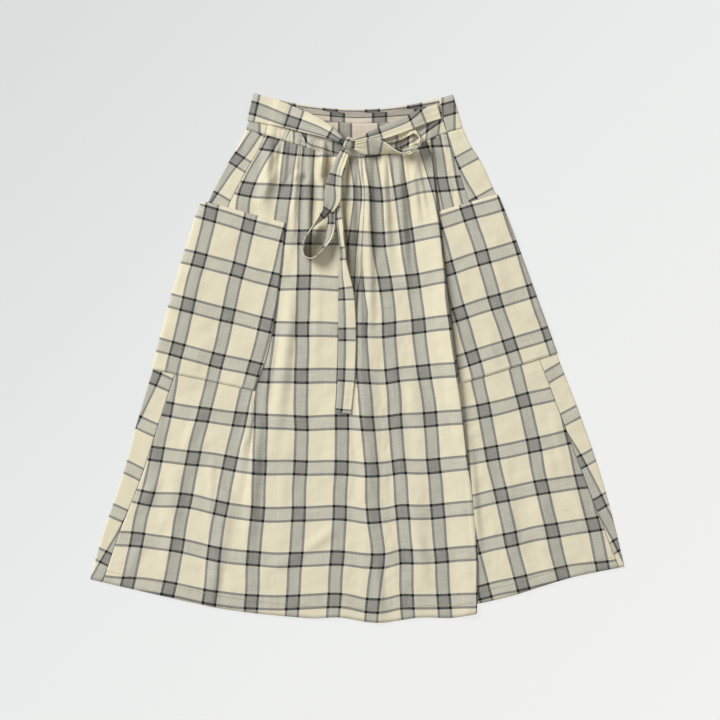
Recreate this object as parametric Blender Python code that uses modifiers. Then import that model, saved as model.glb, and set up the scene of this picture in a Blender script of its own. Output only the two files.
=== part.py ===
"""Prairie skirt in woven check cotton, laid flat with its front up.

X runs across the skirt, Y from the hem up to the waist and Z up from the surface that it lies on.
Sizes are in millimetres and are turned to metres when a mesh is made. Two numbers place a point on
the skirt: `across`, 0 at the left side fold and 1 at the right one, and `down`, 0 at the waist seam
and 1 at the hem. On the front waistband `down` goes on to -1 at its top edge.
"""
import bmesh
import bpy
import numpy as np
from mathutils import Matrix

MM = 0.001
COLLECTION = "prairie_skirt"
# Moves the whole skirt so that the origin is the middle of its box
TO_MIDDLE = (0.297, -0.531, 0)

# Cloth and seams
WALL = 1.2
TIE_WALL = 1.6
SEAM_GAP = 0.3

# Heights of the layers, to the middle of their walls
BACK_HEIGHT = WALL / 2
FRONT_HEIGHT = 3.6
FOLD_RADIUS = (FRONT_HEIGHT - BACK_HEIGHT) / 2
LAYER_STEP = WALL + SEAM_GAP

# Ends of the side folds, from the waist seam to the hem
WAIST_Y_LEFT, WAIST_Y_RIGHT = 391.7, 394.3
HEM_Y_LEFT, HEM_Y_RIGHT = -380.9, -359.1


def table(names, rows):
    """A table as one array of numbers for each named column."""
    return dict(zip(names.split(), np.array(rows, dtype=float).T))


# The side folds, and how far in from them the side seams lie on the front
SIDES = table("down left_x right_x left_seam right_seam", [
    (0.000, -190.9, 180.9, 33, 27),
    (0.035, -204.7, 192.8, 34, 32),
    (0.070, -220.7, 209.5, 34, 38),
    (0.155, -254.6, 239.1, 34, 46),
    (0.300, -292.7, 280.7, 36, 34),
    (0.525, -349.7, 345.2, 38, 23),
    (0.650, -378.9, 381.8, 36, 26),
    (0.770, -404.2, 413.3, 31, 28),
    (0.890, -435.5, 439.1, 26, 20),
    (1.000, -459.8, 459.2, 22, 9),
])

# How far the rows of the front dip below a straight line between the side folds
DIP_ACROSS = (0, 0.10, 0.27, 0.50, 0.78, 0.90, 1)
DIPS = table("down outer_left left middle right outer_right", [
    (0.000, 10.3, 30.3, 50.0, 28.7, 10.3),
    (0.155, 13.8, 37.2, 56.8, 30.0, 13.8),
    (0.520, 15.5, 42.0, 68.8, 44.7, 20.6),
    (1.000, 23.4, 59.7, 76.7, 47.6, 16.7),
])

# The knife fold: where its edge lies, how deep it is folded and how far it drops the left part
KNIFE = table("down edge_x depth drop", [
    (0.000, 124.7, 6, 0),
    (0.155, 137.3, 12, 1),
    (0.300, 150.3, 18, 3),
    (0.525, 173.4, 21, 3),
    (0.650, 186.6, 17, 5),
    (0.770, 198.1, 12, 8),
    (0.890, 205.5, 8, 13),
    (1.000, 204.9, 5, 17),
])
KNIFE_BEND = 1.1
KNIFE_LEVEL = 2 * KNIFE_BEND
KNIFE_RAMP = 32
KNIFE_DROP_FROM = 0.45
KNIFE_FALL = 14

# Gathers and soft folds of the front: a ridge from `top` to `end` whose crest moves from top_x to end_x
RIDGES = table("top end top_x end_x half_width height", [
    (0.00, 0.15, -148, -165, 14, 7.0),
    (0.00, 0.12, -122, -132, 9, 4.5),
    (0.00, 0.22, -103, -112, 9, 5.5),
    (0.00, 0.28, -83, -88, 10, 6.0),
    (0.00, 0.18, -58, -60, 11, 5.0),
    (0.00, 0.30, -33, -38, 13, 6.5),
    (0.00, 0.24, -8, -6, 11, 5.5),
    (0.00, 0.42, 17, 24, 12, 6.5),
    (0.00, 0.26, 43, 54, 13, 6.0),
    (0.00, 0.34, 69, 88, 12, 6.5),
    (0.00, 0.20, 92, 108, 10, 5.5),
    (0.25, 0.72, -106, -150, 18, 5.0),
    (0.54, 0.98, -168, -196, 18, 5.0),
    (0.30, 1.08, 10, 26, 26, 4.0),
    (0.66, 1.10, -300, -352, 24, 3.0),
    (0.72, 1.10, -218, -264, 22, 3.5),
    (0.62, 1.10, 90, 118, 30, 2.5),
    (0.70, 1.10, 300, 352, 26, 2.5),
])
# A gather starts at the seam with this share of its height, and a ridge is whole after a share of its length
RIDGE_START = 0.45
GATHER_RISE = 0.25
SOFT_RISE = 0.35

# The rows and columns of the panels' meshes
ROWS = (0, 0.012, 0.035, 0.07, 0.12, 0.155, 0.21, 0.28, 0.36, 0.45, 0.525, 0.57, 0.65, 0.77, 0.89, 1)
FRONT_LEFT_COLUMNS = 58
FRONT_RIGHT_COLUMNS = 20
TURN_COLUMNS = 7
WRAP_COLUMNS = 4
UNDER_COLUMNS = 10

# The back shows inside above the front, and ends just above it at the hem
BACK_RISE_WAIST = 60
BACK_RISE_HEM = 9

# The pockets: rows of their top and bottom edges, and the reach of each under the back
POCKET_UNDER = 45
POCKET_LIFT_RAMP = 34
POCKET_LEFT = {"top": 0.161, "bottom": 0.533}
POCKET_RIGHT = {"top": 0.151, "bottom": 0.514}
LIFT_ROWS = (0.12, 0.150, 0.534, 0.57)
POCKET_SHAPE = table("along left_edge_x left_proud right_proud", [
    (0.00, -123.8, 11.0, 2.8),
    (0.30, -133.3, 11.0, 3.6),
    (0.58, -143.6, 8.5, 2.8),
    (0.78, -155.5, 5.0, 2.2),
    (1.00, -177.2, 1.0, 1.0),
])
POCKET_CLEAR_OF_KNIFE = 3.2
POCKET_ROWS = 12
POCKET_FRONT_COLUMNS = 14
POCKET_TURN_COLUMNS = 9
POCKET_UNDER_COLUMNS = 3

# Columns of the back, in from each fold, that follow its lift over the pockets
PANEL_UNDER = (12, 28, POCKET_UNDER + 2 * WALL, POCKET_UNDER + POCKET_LIFT_RAMP + 2)

# The waistbands
BAND_TOP_LEFT = (-178.0, 455.4)
BAND_TOP_RIGHT = (164.3, 452.8)
BACK_BAND_DIP = 27
BACK_BAND_LEAN = 1.5
BACK_BAND_ROWS = (0, 0.35, 0.7, 1)
BACK_BAND_UNDER = (12, 28, 50, 80)
FRONT_BAND_TOP = table("across drop", [
    (0.00, 3),
    (0.09, 11),
    (0.25, 34),
    (0.40, 63),
    (0.48, 81),
    (0.56, 68),
    (0.68, 54),
    (0.80, 39),
    (0.92, 24),
    (1.00, 14),
])
MOUTH = {"across": 0.48, "half_width": 0.40, "height": 11, "belly": 0.5}
FRONT_BAND_ROWS = (0, 0.2, 0.45, 0.75, 1)
FRONT_BAND_COLUMNS = 60
# The gathers run this far up the front waistband
GATHER_REACH = 0.6

# The bow. Each ribbon has one row a station: place, height over the cloth, width and roll in degrees
KNOT_PLACE = (-15.5, 367.6)
KNOT_SIZE = (17, 25, 15)
# Rounding shrinks the knot's block, so that it starts larger
KNOT_BLOCK = 1.2
RIBBON_COLUMNS = "x y clear width roll"
LEFT_TIE = table(RIBBON_COLUMNS, [
    (-184.5, 431.2, 0.0, 48, 0),
    (-160.0, 425.5, 0.0, 46, 0),
    (-141.9, 421.0, 0.4, 44, 0),
    (-114.4, 412.4, 1.0, 39, 0),
    (-85.1, 402.1, 2.0, 34, 3),
    (-54.2, 389.0, 4.0, 24, 8),
    (-38.0, 379.5, 5.0, 16, 12),
    (-27.0, 372.6, 5.5, 9, 0),
])
RIGHT_TIE = table(RIBBON_COLUMNS, [
    (140.5, 423.4, 0.0, 26, 0),
    (124.0, 418.4, 1.5, 26, 0),
    (107.5, 412.0, 4.5, 26, 0),
    (73.1, 397.6, 6.0, 25, 0),
    (38.7, 384.2, 6.0, 21, 5),
    (12.0, 375.8, 6.5, 14, 8),
    (-4.0, 371.8, 7.0, 9, 0),
])
RIGHT_LOOP = table(RIBBON_COLUMNS, [
    (-4.5, 361.5, 8.0, 12, 30),
    (9.5, 360.4, 8.5, 24, 26),
    (30.1, 362.0, 9.5, 29, 28),
    (47.3, 358.5, 11.5, 28, 52),
    (61.1, 354.0, 13.0, 27, 78),
    (76.0, 350.5, 13.6, 26, 90),
    (91.5, 353.5, 13.6, 26, 90),
    (103.0, 361.0, 13.6, 26, 90),
    (107.5, 372.0, 13.2, 26, 88),
    (104.5, 381.0, 9.4, 17, 76),
    (98.5, 388.0, 4.6, 13, 40),
    (88.0, 389.5, 1.4, 19, 6),
    (64.0, 384.5, 0.6, 27, 0),
    (36.0, 379.0, 0.6, 24, 0),
    (10.0, 374.5, 0.6, 15, 0),
    (-4.2, 372.2, 1.6, 8, 0),
])
LEFT_LOOP = table(RIBBON_COLUMNS, [
    (-20.0, 356.4, 8.4, 10, 0),
    (-28.0, 339.0, 8.0, 14, 0),
    (-34.4, 322.9, 7.6, 17, 0),
    (-41.3, 293.7, 7.6, 27, -6),
    (-43.8, 271.3, 8.4, 29, -9),
    (-50.0, 254.5, 12.0, 20, -19),
    (-63.0, 240.0, 15.0, 17, -60),
    (-78.3, 222.3, 13.0, 24, -90),
    (-91.2, 201.5, 13.0, 25, -90),
    (-95.2, 186.0, 13.0, 25, -90),
    (-89.0, 173.0, 13.0, 25, -90),
    (-77.5, 170.5, 13.0, 25, -90),
    (-66.2, 178.5, 13.0, 25, -88),
    (-57.0, 191.5, 12.8, 24, -78),
    (-49.0, 209.0, 10.0, 18, -46),
    (-45.0, 231.0, 4.6, 13, -10),
    (-45.0, 262.7, 3.8, 13, 0),
    (-40.5, 297.1, 3.8, 13, 0),
    (-30.0, 331.5, 4.2, 11, 0),
    (-21.0, 351.0, 4.8, 8, 0),
])
TAIL = table(RIBBON_COLUMNS, [
    (-18.2, 352.2, 1.2, 9, 0),
    (-26.0, 336.0, 0.6, 14, 0),
    (-34.5, 310.0, 0.2, 19, 0),
    (-37.4, 284.5, 0.2, 18, 0),
    (-35.2, 254.1, 0.2, 15, 0),
    (-31.0, 228.0, 1.2, 15, 14),
    (-25.2, 204.5, 6.6, 18, 54),
    (-22.9, 183.0, 8.6, 20, 66),
    (-22.4, 162.0, 7.4, 22, 58),
    (-21.5, 140.6, 4.2, 26, 42),
    (-20.2, 116.5, 1.4, 28, 26),
    (-18.9, 90.7, 0.2, 29, 4),
    (-18.1, 64.9, 0.0, 30, 0),
    (-18.1, 13.3, 0.0, 30, 0),
    (-19.8, -38.3, 0.0, 29, 0),
    (-22.4, -72.7, 0.0, 27, 0),
    (-24.4, -95.0, 0.0, 26, 0),
])
RIBBON_ACROSS = 3
RIBBON_COUNTS = {"tie_left": 26, "tie_right": 24, "bow_loop_right": 48, "bow_loop_left": 60, "bow_tail": 44}
# A ribbon rests on the highest cloth within this distance
DRAPE_REACH = 5
SEARCH_STEPS = 18

CREAM_CHECK = (0.66, 0.62, 0.50, 1)
GREY_CHECK = (0.42, 0.41, 0.37, 1)
CREAM_SASH = (0.72, 0.67, 0.54, 1)
COTTON_ROUGHNESS = 0.85


def smooth(stations, values, at):
    """Values at `at` on a curve with continuous slope through the stations' values.

    `values` has one row a station, and may have one column for each place in `at`.
    """
    stations, values = np.asarray(stations, float), np.asarray(values, float)
    at = np.clip(at, stations[0], stations[-1])
    slopes = np.gradient(values, stations, axis=0)
    index = np.clip(np.searchsorted(stations, at, side="right") - 1, 0, len(stations) - 2)
    span = stations[index + 1] - stations[index]
    t = (at - stations[index]) / span

    def picked(rows, place):
        if rows.ndim == 1:
            return rows[place]
        return np.take_along_axis(rows, place[None], axis=0)[0]

    start, end = picked(values, index), picked(values, index + 1)
    bend_start, bend_end = picked(slopes, index) * span, picked(slopes, index + 1) * span
    return (
        (2 * t**3 - 3 * t**2 + 1) * start + (t**3 - 2 * t**2 + t) * bend_start
        + (3 * t**2 - 2 * t**3) * end + (t**3 - t**2) * bend_end
    )


def ease(value):
    """0 to 1 with no slope at either end."""
    value = np.clip(value, 0, 1)
    return value * value * (3 - 2 * value)


def bell(distance, half_width):
    """1 in the middle and 0 from half_width on."""
    return 0.5 + 0.5 * np.cos(np.pi * np.clip(np.abs(distance) / half_width, 0, 1))


def side(down, column):
    """A column of the table of sides at `down`."""
    return smooth(SIDES["down"], SIDES[column], down)


def width(down):
    """Distance between the side folds."""
    return side(down, "right_x") - side(down, "left_x")


def knife(down, column):
    """A column of the knife fold's table at `down`."""
    return smooth(KNIFE["down"], KNIFE[column], down)


def row_line(across, down):
    """Y of the straight line between the side folds."""
    left = WAIST_Y_LEFT + (HEM_Y_LEFT - WAIST_Y_LEFT) * down
    right = WAIST_Y_RIGHT + (HEM_Y_RIGHT - WAIST_Y_RIGHT) * down
    return left + (right - left) * across


def dip(across, down):
    """How far a row of the front hangs below its straight line."""
    across, down = np.broadcast_arrays(np.asarray(across, float), np.asarray(down, float))
    names = ("outer_left", "left", "middle", "right", "outer_right")
    levels = [smooth(DIPS["down"], DIPS[name], down) for name in names]
    at_sides = np.zeros_like(down)
    return smooth(DIP_ACROSS, np.stack([at_sides, *levels, at_sides]), across)


def lift(x, down):
    """How far the panels are raised where a pocket runs on under them."""
    edge = np.minimum(x - side(down, "left_x"), side(down, "right_x") - x)
    sideways = 1 - ease((edge - POCKET_UNDER - WALL) / POCKET_LIFT_RAMP)
    first, full, last, end = LIFT_ROWS
    lengthways = ease((down - first) / (full - first)) * (1 - ease((down - last) / (end - last)))
    return LAYER_STEP * sideways * lengthways


def ridges(x, down):
    """Height of the gathers and soft folds of the front."""
    x, down = np.broadcast_arrays(np.asarray(x, float), np.asarray(down, float))
    height = np.zeros(x.shape)
    for top, end, top_x, end_x, half_width, crest in zip(*RIDGES.values()):
        along = (down - top) / (end - top)
        middle = top_x + (end_x - top_x) * along
        if top > 0:
            grow = ease(along / SOFT_RISE)
        else:
            grow = RIDGE_START + (1 - RIDGE_START) * ease(along / GATHER_RISE)
        fade = np.where(along >= 0, grow * (1 - ease((along - SOFT_RISE) / (1 - SOFT_RISE))), 0)
        height += crest * fade * bell(x - middle, half_width)
    return height


def front_height(x, down):
    """Height of the front's wall where it isn't raised by the knife fold."""
    return FRONT_HEIGHT + lift(x, down) + ridges(x, down)


def knife_climb(x, down):
    """How far the front climbs, on the left of the knife fold's edge, onto the fold's layers."""
    full = knife(down, "edge_x") - knife(down, "depth") - 2 * KNIFE_BEND - WALL
    return 2 * KNIFE_LEVEL * ease((x - full + KNIFE_RAMP) / KNIFE_RAMP)


def front_y(x, down):
    """Y of the front at X in the row `down`."""
    across = (x - side(down, "left_x")) / width(down)
    return row_line(across, down) - dip(across, down)


def spread(start, end, count):
    """`count` columns from `start` to `end`, for each row."""
    return start[:, None] + (end - start)[:, None] * np.linspace(0, 1, count)[None, :]


def front_panel_points():
    """The front, from side seam to side seam, with the knife fold as a true three-layer fold."""
    down = np.array(ROWS)
    left = side(down, "left_x") + side(down, "left_seam") + SEAM_GAP / 2
    right = side(down, "right_x") - side(down, "right_seam") - SEAM_GAP / 2
    edge, depth, drop = (knife(down, name) for name in ("edge_x", "depth", "drop"))
    rows = down[:, None]
    # The part on the left climbs onto the fold's layers as it nears the edge.
    x_left = spread(left, edge - KNIFE_BEND - 2 * WALL, FRONT_LEFT_COLUMNS)
    z_left = front_height(x_left, rows) + knife_climb(x_left, rows)
    reach = (x_left - left[:, None]) / (edge - left)[:, None]
    pull = ease((reach - KNIFE_DROP_FROM) / (1 - KNIFE_DROP_FROM))
    y_left = front_y(x_left, rows) - drop[:, None] * pull
    # The fold turns under at its edge, runs back by its depth and turns again.
    turn = np.linspace(np.pi / 2, -np.pi / 2, TURN_COLUMNS)[None, :]
    base = FRONT_HEIGHT + np.zeros_like(edge)[:, None]
    x_out = (edge - KNIFE_BEND)[:, None] + KNIFE_BEND * np.cos(turn)
    z_out = base + 1.5 * KNIFE_LEVEL + KNIFE_BEND * np.sin(turn)
    x_in = (edge - KNIFE_BEND - depth)[:, None] - KNIFE_BEND * np.cos(turn)
    z_in = base + 0.5 * KNIFE_LEVEL + KNIFE_BEND * np.sin(turn)
    x_fold = np.concatenate([x_out, x_in], axis=1)
    z_fold = np.concatenate([z_out, z_in], axis=1)
    share = np.linspace(1, 0, x_fold.shape[1])[None, :]
    y_fold = front_y(x_fold, rows) - drop[:, None] * share
    x_right = spread(edge - depth + 2 * WALL, right, FRONT_RIGHT_COLUMNS)
    y_right = front_y(x_right, rows)
    z_right = front_height(x_right, rows)
    return np.stack([
        np.concatenate(parts, axis=1)
        for parts in ((x_left, x_fold, x_right), (y_left, y_fold, y_right), (z_left, z_fold, z_right))
    ], axis=-1)


def wrapped_columns(left, right, left_reach, right_reach, under):
    """One row of the back, from its left seam to its right one: each X, and 1 on top to 0 underneath.

    `left` and `right` are the folds, the reaches are how far its ends come in on the front, and `under`
    has the columns underneath, in from each fold.
    """
    turn = np.linspace(np.pi / 2, -np.pi / 2, TURN_COLUMNS)
    centre = FOLD_RADIUS + WALL / 2
    bottom_in = np.array(under)
    middle = np.linspace(left + under[-1], right - under[-1], UNDER_COLUMNS + 2)[1:-1]
    x = np.concatenate([
        np.linspace(left + left_reach, left + centre, WRAP_COLUMNS + 1)[:-1],
        left + centre - FOLD_RADIUS * np.cos(turn),
        left + bottom_in,
        middle,
        right - bottom_in[::-1],
        right - centre + FOLD_RADIUS * np.cos(turn[::-1]),
        np.linspace(right - centre, right - right_reach, WRAP_COLUMNS + 1)[1:],
    ])
    round_z = 0.5 + 0.5 * np.sin(turn)
    strip = np.ones(WRAP_COLUMNS)
    underneath = np.zeros(2 * len(under) + UNDER_COLUMNS)
    return x, np.concatenate([strip, round_z, underneath, round_z[::-1], strip])


def back_y(x, down):
    """Y of the back at X in the row `down`, above the front's by its rise."""
    across = (x - side(down, "left_x")) / width(down)
    rise = BACK_RISE_HEM + (BACK_RISE_WAIST - BACK_RISE_HEM) * (1 - down) ** 4
    return front_y(x, down) + rise * 4 * across * (1 - across)


def back_panel_points():
    """The back, from its seam on the front's left, under the skirt, to its seam on the right."""
    points = []
    for down in ROWS:
        left, right = side(down, "left_x"), side(down, "right_x")
        left_reach, right_reach = (side(down, name) - SEAM_GAP / 2 for name in ("left_seam", "right_seam"))
        x, on_top = wrapped_columns(left, right, left_reach, right_reach, PANEL_UNDER)
        top_y, low_y = front_y(x, down), back_y(x, down)
        raised = lift(x, down)
        y = low_y + (top_y - low_y) * on_top
        z = BACK_HEIGHT + raised + 2 * FOLD_RADIUS * on_top
        points.append(np.stack([x, y, z], axis=-1))
    return np.array(points)


def pocket_points(shape, mirror):
    """A pocket made from the panels' points, moved out: `mirror` is -1 on the right."""
    along = np.linspace(0, 1, POCKET_ROWS)
    down = shape["top"] + (shape["bottom"] - shape["top"]) * along
    turn = np.linspace(np.pi / 2, -np.pi / 2, POCKET_TURN_COLUMNS)
    on_top = np.concatenate([
        np.ones(POCKET_FRONT_COLUMNS), 0.5 + 0.5 * np.sin(turn), np.zeros(POCKET_UNDER_COLUMNS),
    ])
    points = []
    for share, row in zip(along, down):
        fold = side(row, "left_x") if mirror > 0 else side(row, "right_x")
        column = "left_proud" if mirror > 0 else "right_proud"
        proud = smooth(POCKET_SHAPE["along"], POCKET_SHAPE[column], share)
        if mirror > 0:
            edge = smooth(POCKET_SHAPE["along"], POCKET_SHAPE["left_edge_x"], share)
        else:
            edge = knife(row, "edge_x") + POCKET_CLEAR_OF_KNIFE
        centre = FOLD_RADIUS + WALL / 2
        radius_x = FOLD_RADIUS + LAYER_STEP + proud
        inward = abs(edge - fold)
        distance = np.concatenate([
            np.linspace(inward, centre, POCKET_FRONT_COLUMNS + 1)[:-1],
            centre - radius_x * np.cos(turn),
            np.linspace(centre, POCKET_UNDER, POCKET_UNDER_COLUMNS + 1)[1:],
        ])
        x = fold + mirror * distance
        inner_x = np.clip(x, side(row, "left_x"), side(row, "right_x"))
        top_y, low_y = front_y(inner_x, row), back_y(inner_x, row)
        top_z = front_height(inner_x, row) + LAYER_STEP
        low_z = np.where(on_top == 0, BACK_HEIGHT, top_z - 2 * (FOLD_RADIUS + LAYER_STEP))
        points.append(np.stack([
            x, low_y + (top_y - low_y) * on_top, low_z + (top_z - low_z) * on_top,
        ], axis=-1))
    return np.array(points)


def band_top(across, drop):
    """The line through the waistband's top corners, lowered by `drop`."""
    x = BAND_TOP_LEFT[0] + (BAND_TOP_RIGHT[0] - BAND_TOP_LEFT[0]) * across
    y = BAND_TOP_LEFT[1] + (BAND_TOP_RIGHT[1] - BAND_TOP_LEFT[1]) * across - drop
    return x, y


def front_band(across, up):
    """A point of the front waistband: `up` is 0 at the waist seam and 1 at the top edge."""
    left, right = side(0, "left_x"), side(0, "right_x")
    low_x = left + (right - left) * across
    low_y = front_y(low_x, 0) + SEAM_GAP
    top_x, top_y = band_top(across, smooth(FRONT_BAND_TOP["across"], FRONT_BAND_TOP["drop"], across))
    mouth = MOUTH["height"] * bell(across - MOUTH["across"], MOUTH["half_width"])
    past_knife = ease((low_x - knife(0, "edge_x")) / KNIFE_FALL)
    low_z = front_height(low_x, 0) + knife_climb(low_x, 0) * (1 - past_knife)
    gathers = (low_z - FRONT_HEIGHT) * (1 - ease(up / GATHER_REACH))
    z = FRONT_HEIGHT + gathers + mouth * up * (1 + MOUTH["belly"] * (1 - up))
    return low_x + (top_x - low_x) * up, low_y + (top_y - low_y) * up, z


def front_band_points():
    """The front waistband, from side seam to side seam."""
    first = (side(0, "left_seam") + SEAM_GAP / 2) / width(0)
    last = 1 - (side(0, "right_seam") + SEAM_GAP / 2) / width(0)
    across = np.linspace(first, last, FRONT_BAND_COLUMNS)
    return np.array([np.stack(front_band(across, up), axis=-1) for up in FRONT_BAND_ROWS])


def back_band_points():
    """The back waistband, wrapped round both side folds like the back panel."""
    points = []
    reaches = [side(0, name) - SEAM_GAP / 2 for name in ("left_seam", "right_seam")]
    for up in BACK_BAND_ROWS:
        left = side(0, "left_x") + (BAND_TOP_LEFT[0] - side(0, "left_x")) * up
        right = side(0, "right_x") + (BAND_TOP_RIGHT[0] - side(0, "right_x")) * up
        share = (right - left) / width(0)
        x, on_top = wrapped_columns(left, right, share * reaches[0], share * reaches[1], BACK_BAND_UNDER)
        across = (x - left) / (right - left)
        _, top_y = band_top(across, BACK_BAND_DIP * 4 * across * (1 - across))
        seam_x = side(0, "left_x") + width(0) * across
        low_y = back_y(seam_x, 0) + (front_y(seam_x, 0) - back_y(seam_x, 0)) * on_top + SEAM_GAP
        lean = BACK_BAND_LEAN * bell(across - 0.5, 0.45) * up * (1 - on_top)
        z = BACK_HEIGHT + 2 * FOLD_RADIUS * on_top + lean
        points.append(np.stack([x, low_y + (top_y - low_y) * up, z], axis=-1))
    return np.array(points)


def cloth_top(x, y):
    """Height of the top of the front's cloth under points, over its panel and its waistband."""
    low, high = -np.ones_like(x), np.ones_like(x)
    share = np.clip((x - BAND_TOP_LEFT[0]) / (BAND_TOP_RIGHT[0] - BAND_TOP_LEFT[0]), 0, 1)
    for _ in range(SEARCH_STEPS):
        down = (low + high) / 2
        _, band_y, band_z = front_band(share, np.maximum(-down, 0))
        on_panel = down >= 0
        row = np.maximum(down, 0)
        here = np.where(on_panel, front_y(x, row), band_y)
        low, high = np.where(here > y, down, low), np.where(here > y, high, down)
    panel_z = front_height(x, row) + knife_climb(x, row)
    return np.where(on_panel, panel_z, band_z) + WALL / 2


def draped_height(x, y):
    """The highest cloth near points, so that what lies there rests on the crests."""
    x, y = np.asarray(x, float), np.asarray(y, float)
    offsets = np.array([(i, j) for i in (-1, 0, 1) for j in (-1, 0, 1)]) * DRAPE_REACH
    near_x = x.reshape(1, -1) + offsets[:, :1]
    near_y = y.reshape(1, -1) + offsets[:, 1:]
    highest = cloth_top(near_x.ravel(), near_y.ravel()).reshape(near_x.shape).max(axis=0)
    return highest.reshape(x.shape)


def ribbon_points(stations, name):
    """A ribbon through its stations, with its own width and roll, clear of the cloth below it."""
    count = RIBBON_COUNTS[name]
    steps = np.hypot(np.diff(stations["x"]), np.diff(stations["y"]))
    travelled = np.concatenate([[0], np.cumsum(steps)])
    at = np.linspace(0, travelled[-1], count)
    x, y, clear, wide, roll = (
        smooth(travelled, stations[column], at) for column in RIBBON_COLUMNS.split()
    )
    roll = np.radians(roll)
    along_x, along_y = np.gradient(x, at), np.gradient(y, at)
    length = np.hypot(along_x, along_y)
    left_x, left_y = -along_y / length, along_x / length
    reach = np.linspace(-0.5, 0.5, RIBBON_ACROSS + 1)[:, None] * wide
    px = x + left_x * reach * np.cos(roll)
    py = y + left_y * reach * np.cos(roll)
    lowest = draped_height(px, py) + SEAM_GAP + TIE_WALL / 2
    pz = lowest.max(axis=0) + clear + reach * np.sin(roll)
    return np.stack([px, py, np.maximum(pz, lowest)], axis=-1)


def fabric(name, colour):
    """A plain woven-cotton material."""
    material = bpy.data.materials.new(name)
    material.use_nodes = True
    shader = material.node_tree.nodes["Principled BSDF"]
    shader.inputs["Base Color"].default_value = colour
    shader.inputs["Roughness"].default_value = COTTON_ROUGHNESS
    shader.inputs["Metallic"].default_value = 0
    return material


def lay_sheet(collection, name, points, wall, material):
    """A sheet of cloth: a grid laid through rows of points in millimetres, given its thickness."""
    rows, columns = points.shape[:2]
    build = bmesh.new()
    bmesh.ops.create_grid(build, x_segments=columns - 1, y_segments=rows - 1, size=0.5)
    for vertex in build.verts:
        column = round((vertex.co.x + 0.5) * (columns - 1))
        row = round((vertex.co.y + 0.5) * (rows - 1))
        vertex.co = (points[row, column] + TO_MIDDLE) * MM
    mesh = bpy.data.meshes.new(name)
    build.to_mesh(mesh)
    build.free()
    mesh.materials.append(material)
    mesh.shade_smooth()
    sheet = bpy.data.objects.new(name, mesh)
    collection.objects.link(sheet)
    thickness = sheet.modifiers.new("Cloth thickness", "SOLIDIFY")
    thickness.thickness = wall * MM
    thickness.offset = 0
    return sheet


def make_knot(collection, material):
    """The knot: a rounded lump that stands on the waistband where the ties meet."""
    x, y = KNOT_PLACE
    wide, long, high = KNOT_SIZE
    middle = float(draped_height(x, y)) + SEAM_GAP + high / 2
    build = bmesh.new()
    bmesh.ops.create_cube(build, size=KNOT_BLOCK)
    size = Matrix.Diagonal((wide * MM, long * MM, high * MM, 1))
    bmesh.ops.transform(build, matrix=size, verts=build.verts)
    mesh = bpy.data.meshes.new("bow_knot")
    build.to_mesh(mesh)
    build.free()
    mesh.materials.append(material)
    mesh.shade_smooth()
    knot = bpy.data.objects.new("bow_knot", mesh)
    knot.location = (np.array((x, y, middle)) + TO_MIDDLE) * MM
    collection.objects.link(knot)
    soft = knot.modifiers.new("Rounded", "SUBSURF")
    soft.levels = 2
    soft.render_levels = 2
    return knot


def main():
    for old in list(bpy.data.objects):
        bpy.data.objects.remove(old)
    collection = bpy.data.collections.new(COLLECTION)
    bpy.context.scene.collection.children.link(collection)
    panels = (
        ("back_panel", back_panel_points(), CREAM_CHECK),
        ("front_panel", front_panel_points(), CREAM_CHECK),
        ("pocket_left", pocket_points(POCKET_LEFT, 1), GREY_CHECK),
        ("pocket_right", pocket_points(POCKET_RIGHT, -1), GREY_CHECK),
        ("waistband_back", back_band_points(), CREAM_CHECK),
        ("waistband_front", front_band_points(), GREY_CHECK),
    )
    for name, points, colour in panels:
        lay_sheet(collection, name, points, WALL, fabric(name + "_cotton", colour))
    ribbons = (
        ("tie_left", LEFT_TIE, CREAM_SASH),
        ("tie_right", RIGHT_TIE, CREAM_SASH),
        ("bow_loop_right", RIGHT_LOOP, GREY_CHECK),
        ("bow_loop_left", LEFT_LOOP, GREY_CHECK),
        ("bow_tail", TAIL, CREAM_SASH),
    )
    for name, stations, colour in ribbons:
        lay_sheet(collection, name, ribbon_points(stations, name), TIE_WALL, fabric(name + "_cotton", colour))
    make_knot(collection, fabric("bow_knot_cotton", CREAM_SASH))


main()
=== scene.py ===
"""The looks of a prairie skirt in woven check cotton, laid flat with its front up.

Every sheet of cloth is a fine grid laid through points that are worked out from the same named
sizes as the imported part. Sizes here are in millimetres until a mesh is made. Two numbers place a
point on the skirt: `across`, 0 at the left side fold and 1 at the right one, and `down`, 0 at the
waist seam and 1 at the hem. On the front waistband `down` goes on to -1 at its top edge. Each sheet
also carries its place in the woven check, in repeats, as a UV map.
"""
import math

import bmesh
import bpy
import numpy as np
from bpy.props import FloatProperty, FloatVectorProperty, PointerProperty
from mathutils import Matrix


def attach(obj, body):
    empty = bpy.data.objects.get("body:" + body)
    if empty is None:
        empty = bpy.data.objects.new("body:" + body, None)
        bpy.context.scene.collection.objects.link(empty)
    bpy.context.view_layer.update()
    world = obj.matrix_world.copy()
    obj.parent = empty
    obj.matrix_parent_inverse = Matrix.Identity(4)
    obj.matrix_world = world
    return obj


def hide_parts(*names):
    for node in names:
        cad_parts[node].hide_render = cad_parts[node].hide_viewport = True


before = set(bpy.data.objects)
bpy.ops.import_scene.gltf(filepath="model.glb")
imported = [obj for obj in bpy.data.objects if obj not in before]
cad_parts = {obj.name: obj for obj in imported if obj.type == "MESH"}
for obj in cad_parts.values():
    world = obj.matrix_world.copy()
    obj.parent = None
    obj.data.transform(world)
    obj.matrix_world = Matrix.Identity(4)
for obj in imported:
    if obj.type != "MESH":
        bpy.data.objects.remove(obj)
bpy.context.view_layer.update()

bl_info = {
    "name": "Prairie skirt",
    "version": (1, 0, 0),
    "blender": (4, 5, 0),
    "location": "3D View > Sidebar > Skirt",
    "description": "Adds a prairie skirt in woven check cotton, laid flat",
    "category": "Add Mesh",
}

MM = 0.001
TO_MIDDLE = (0.297, -0.531, 0)

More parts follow.
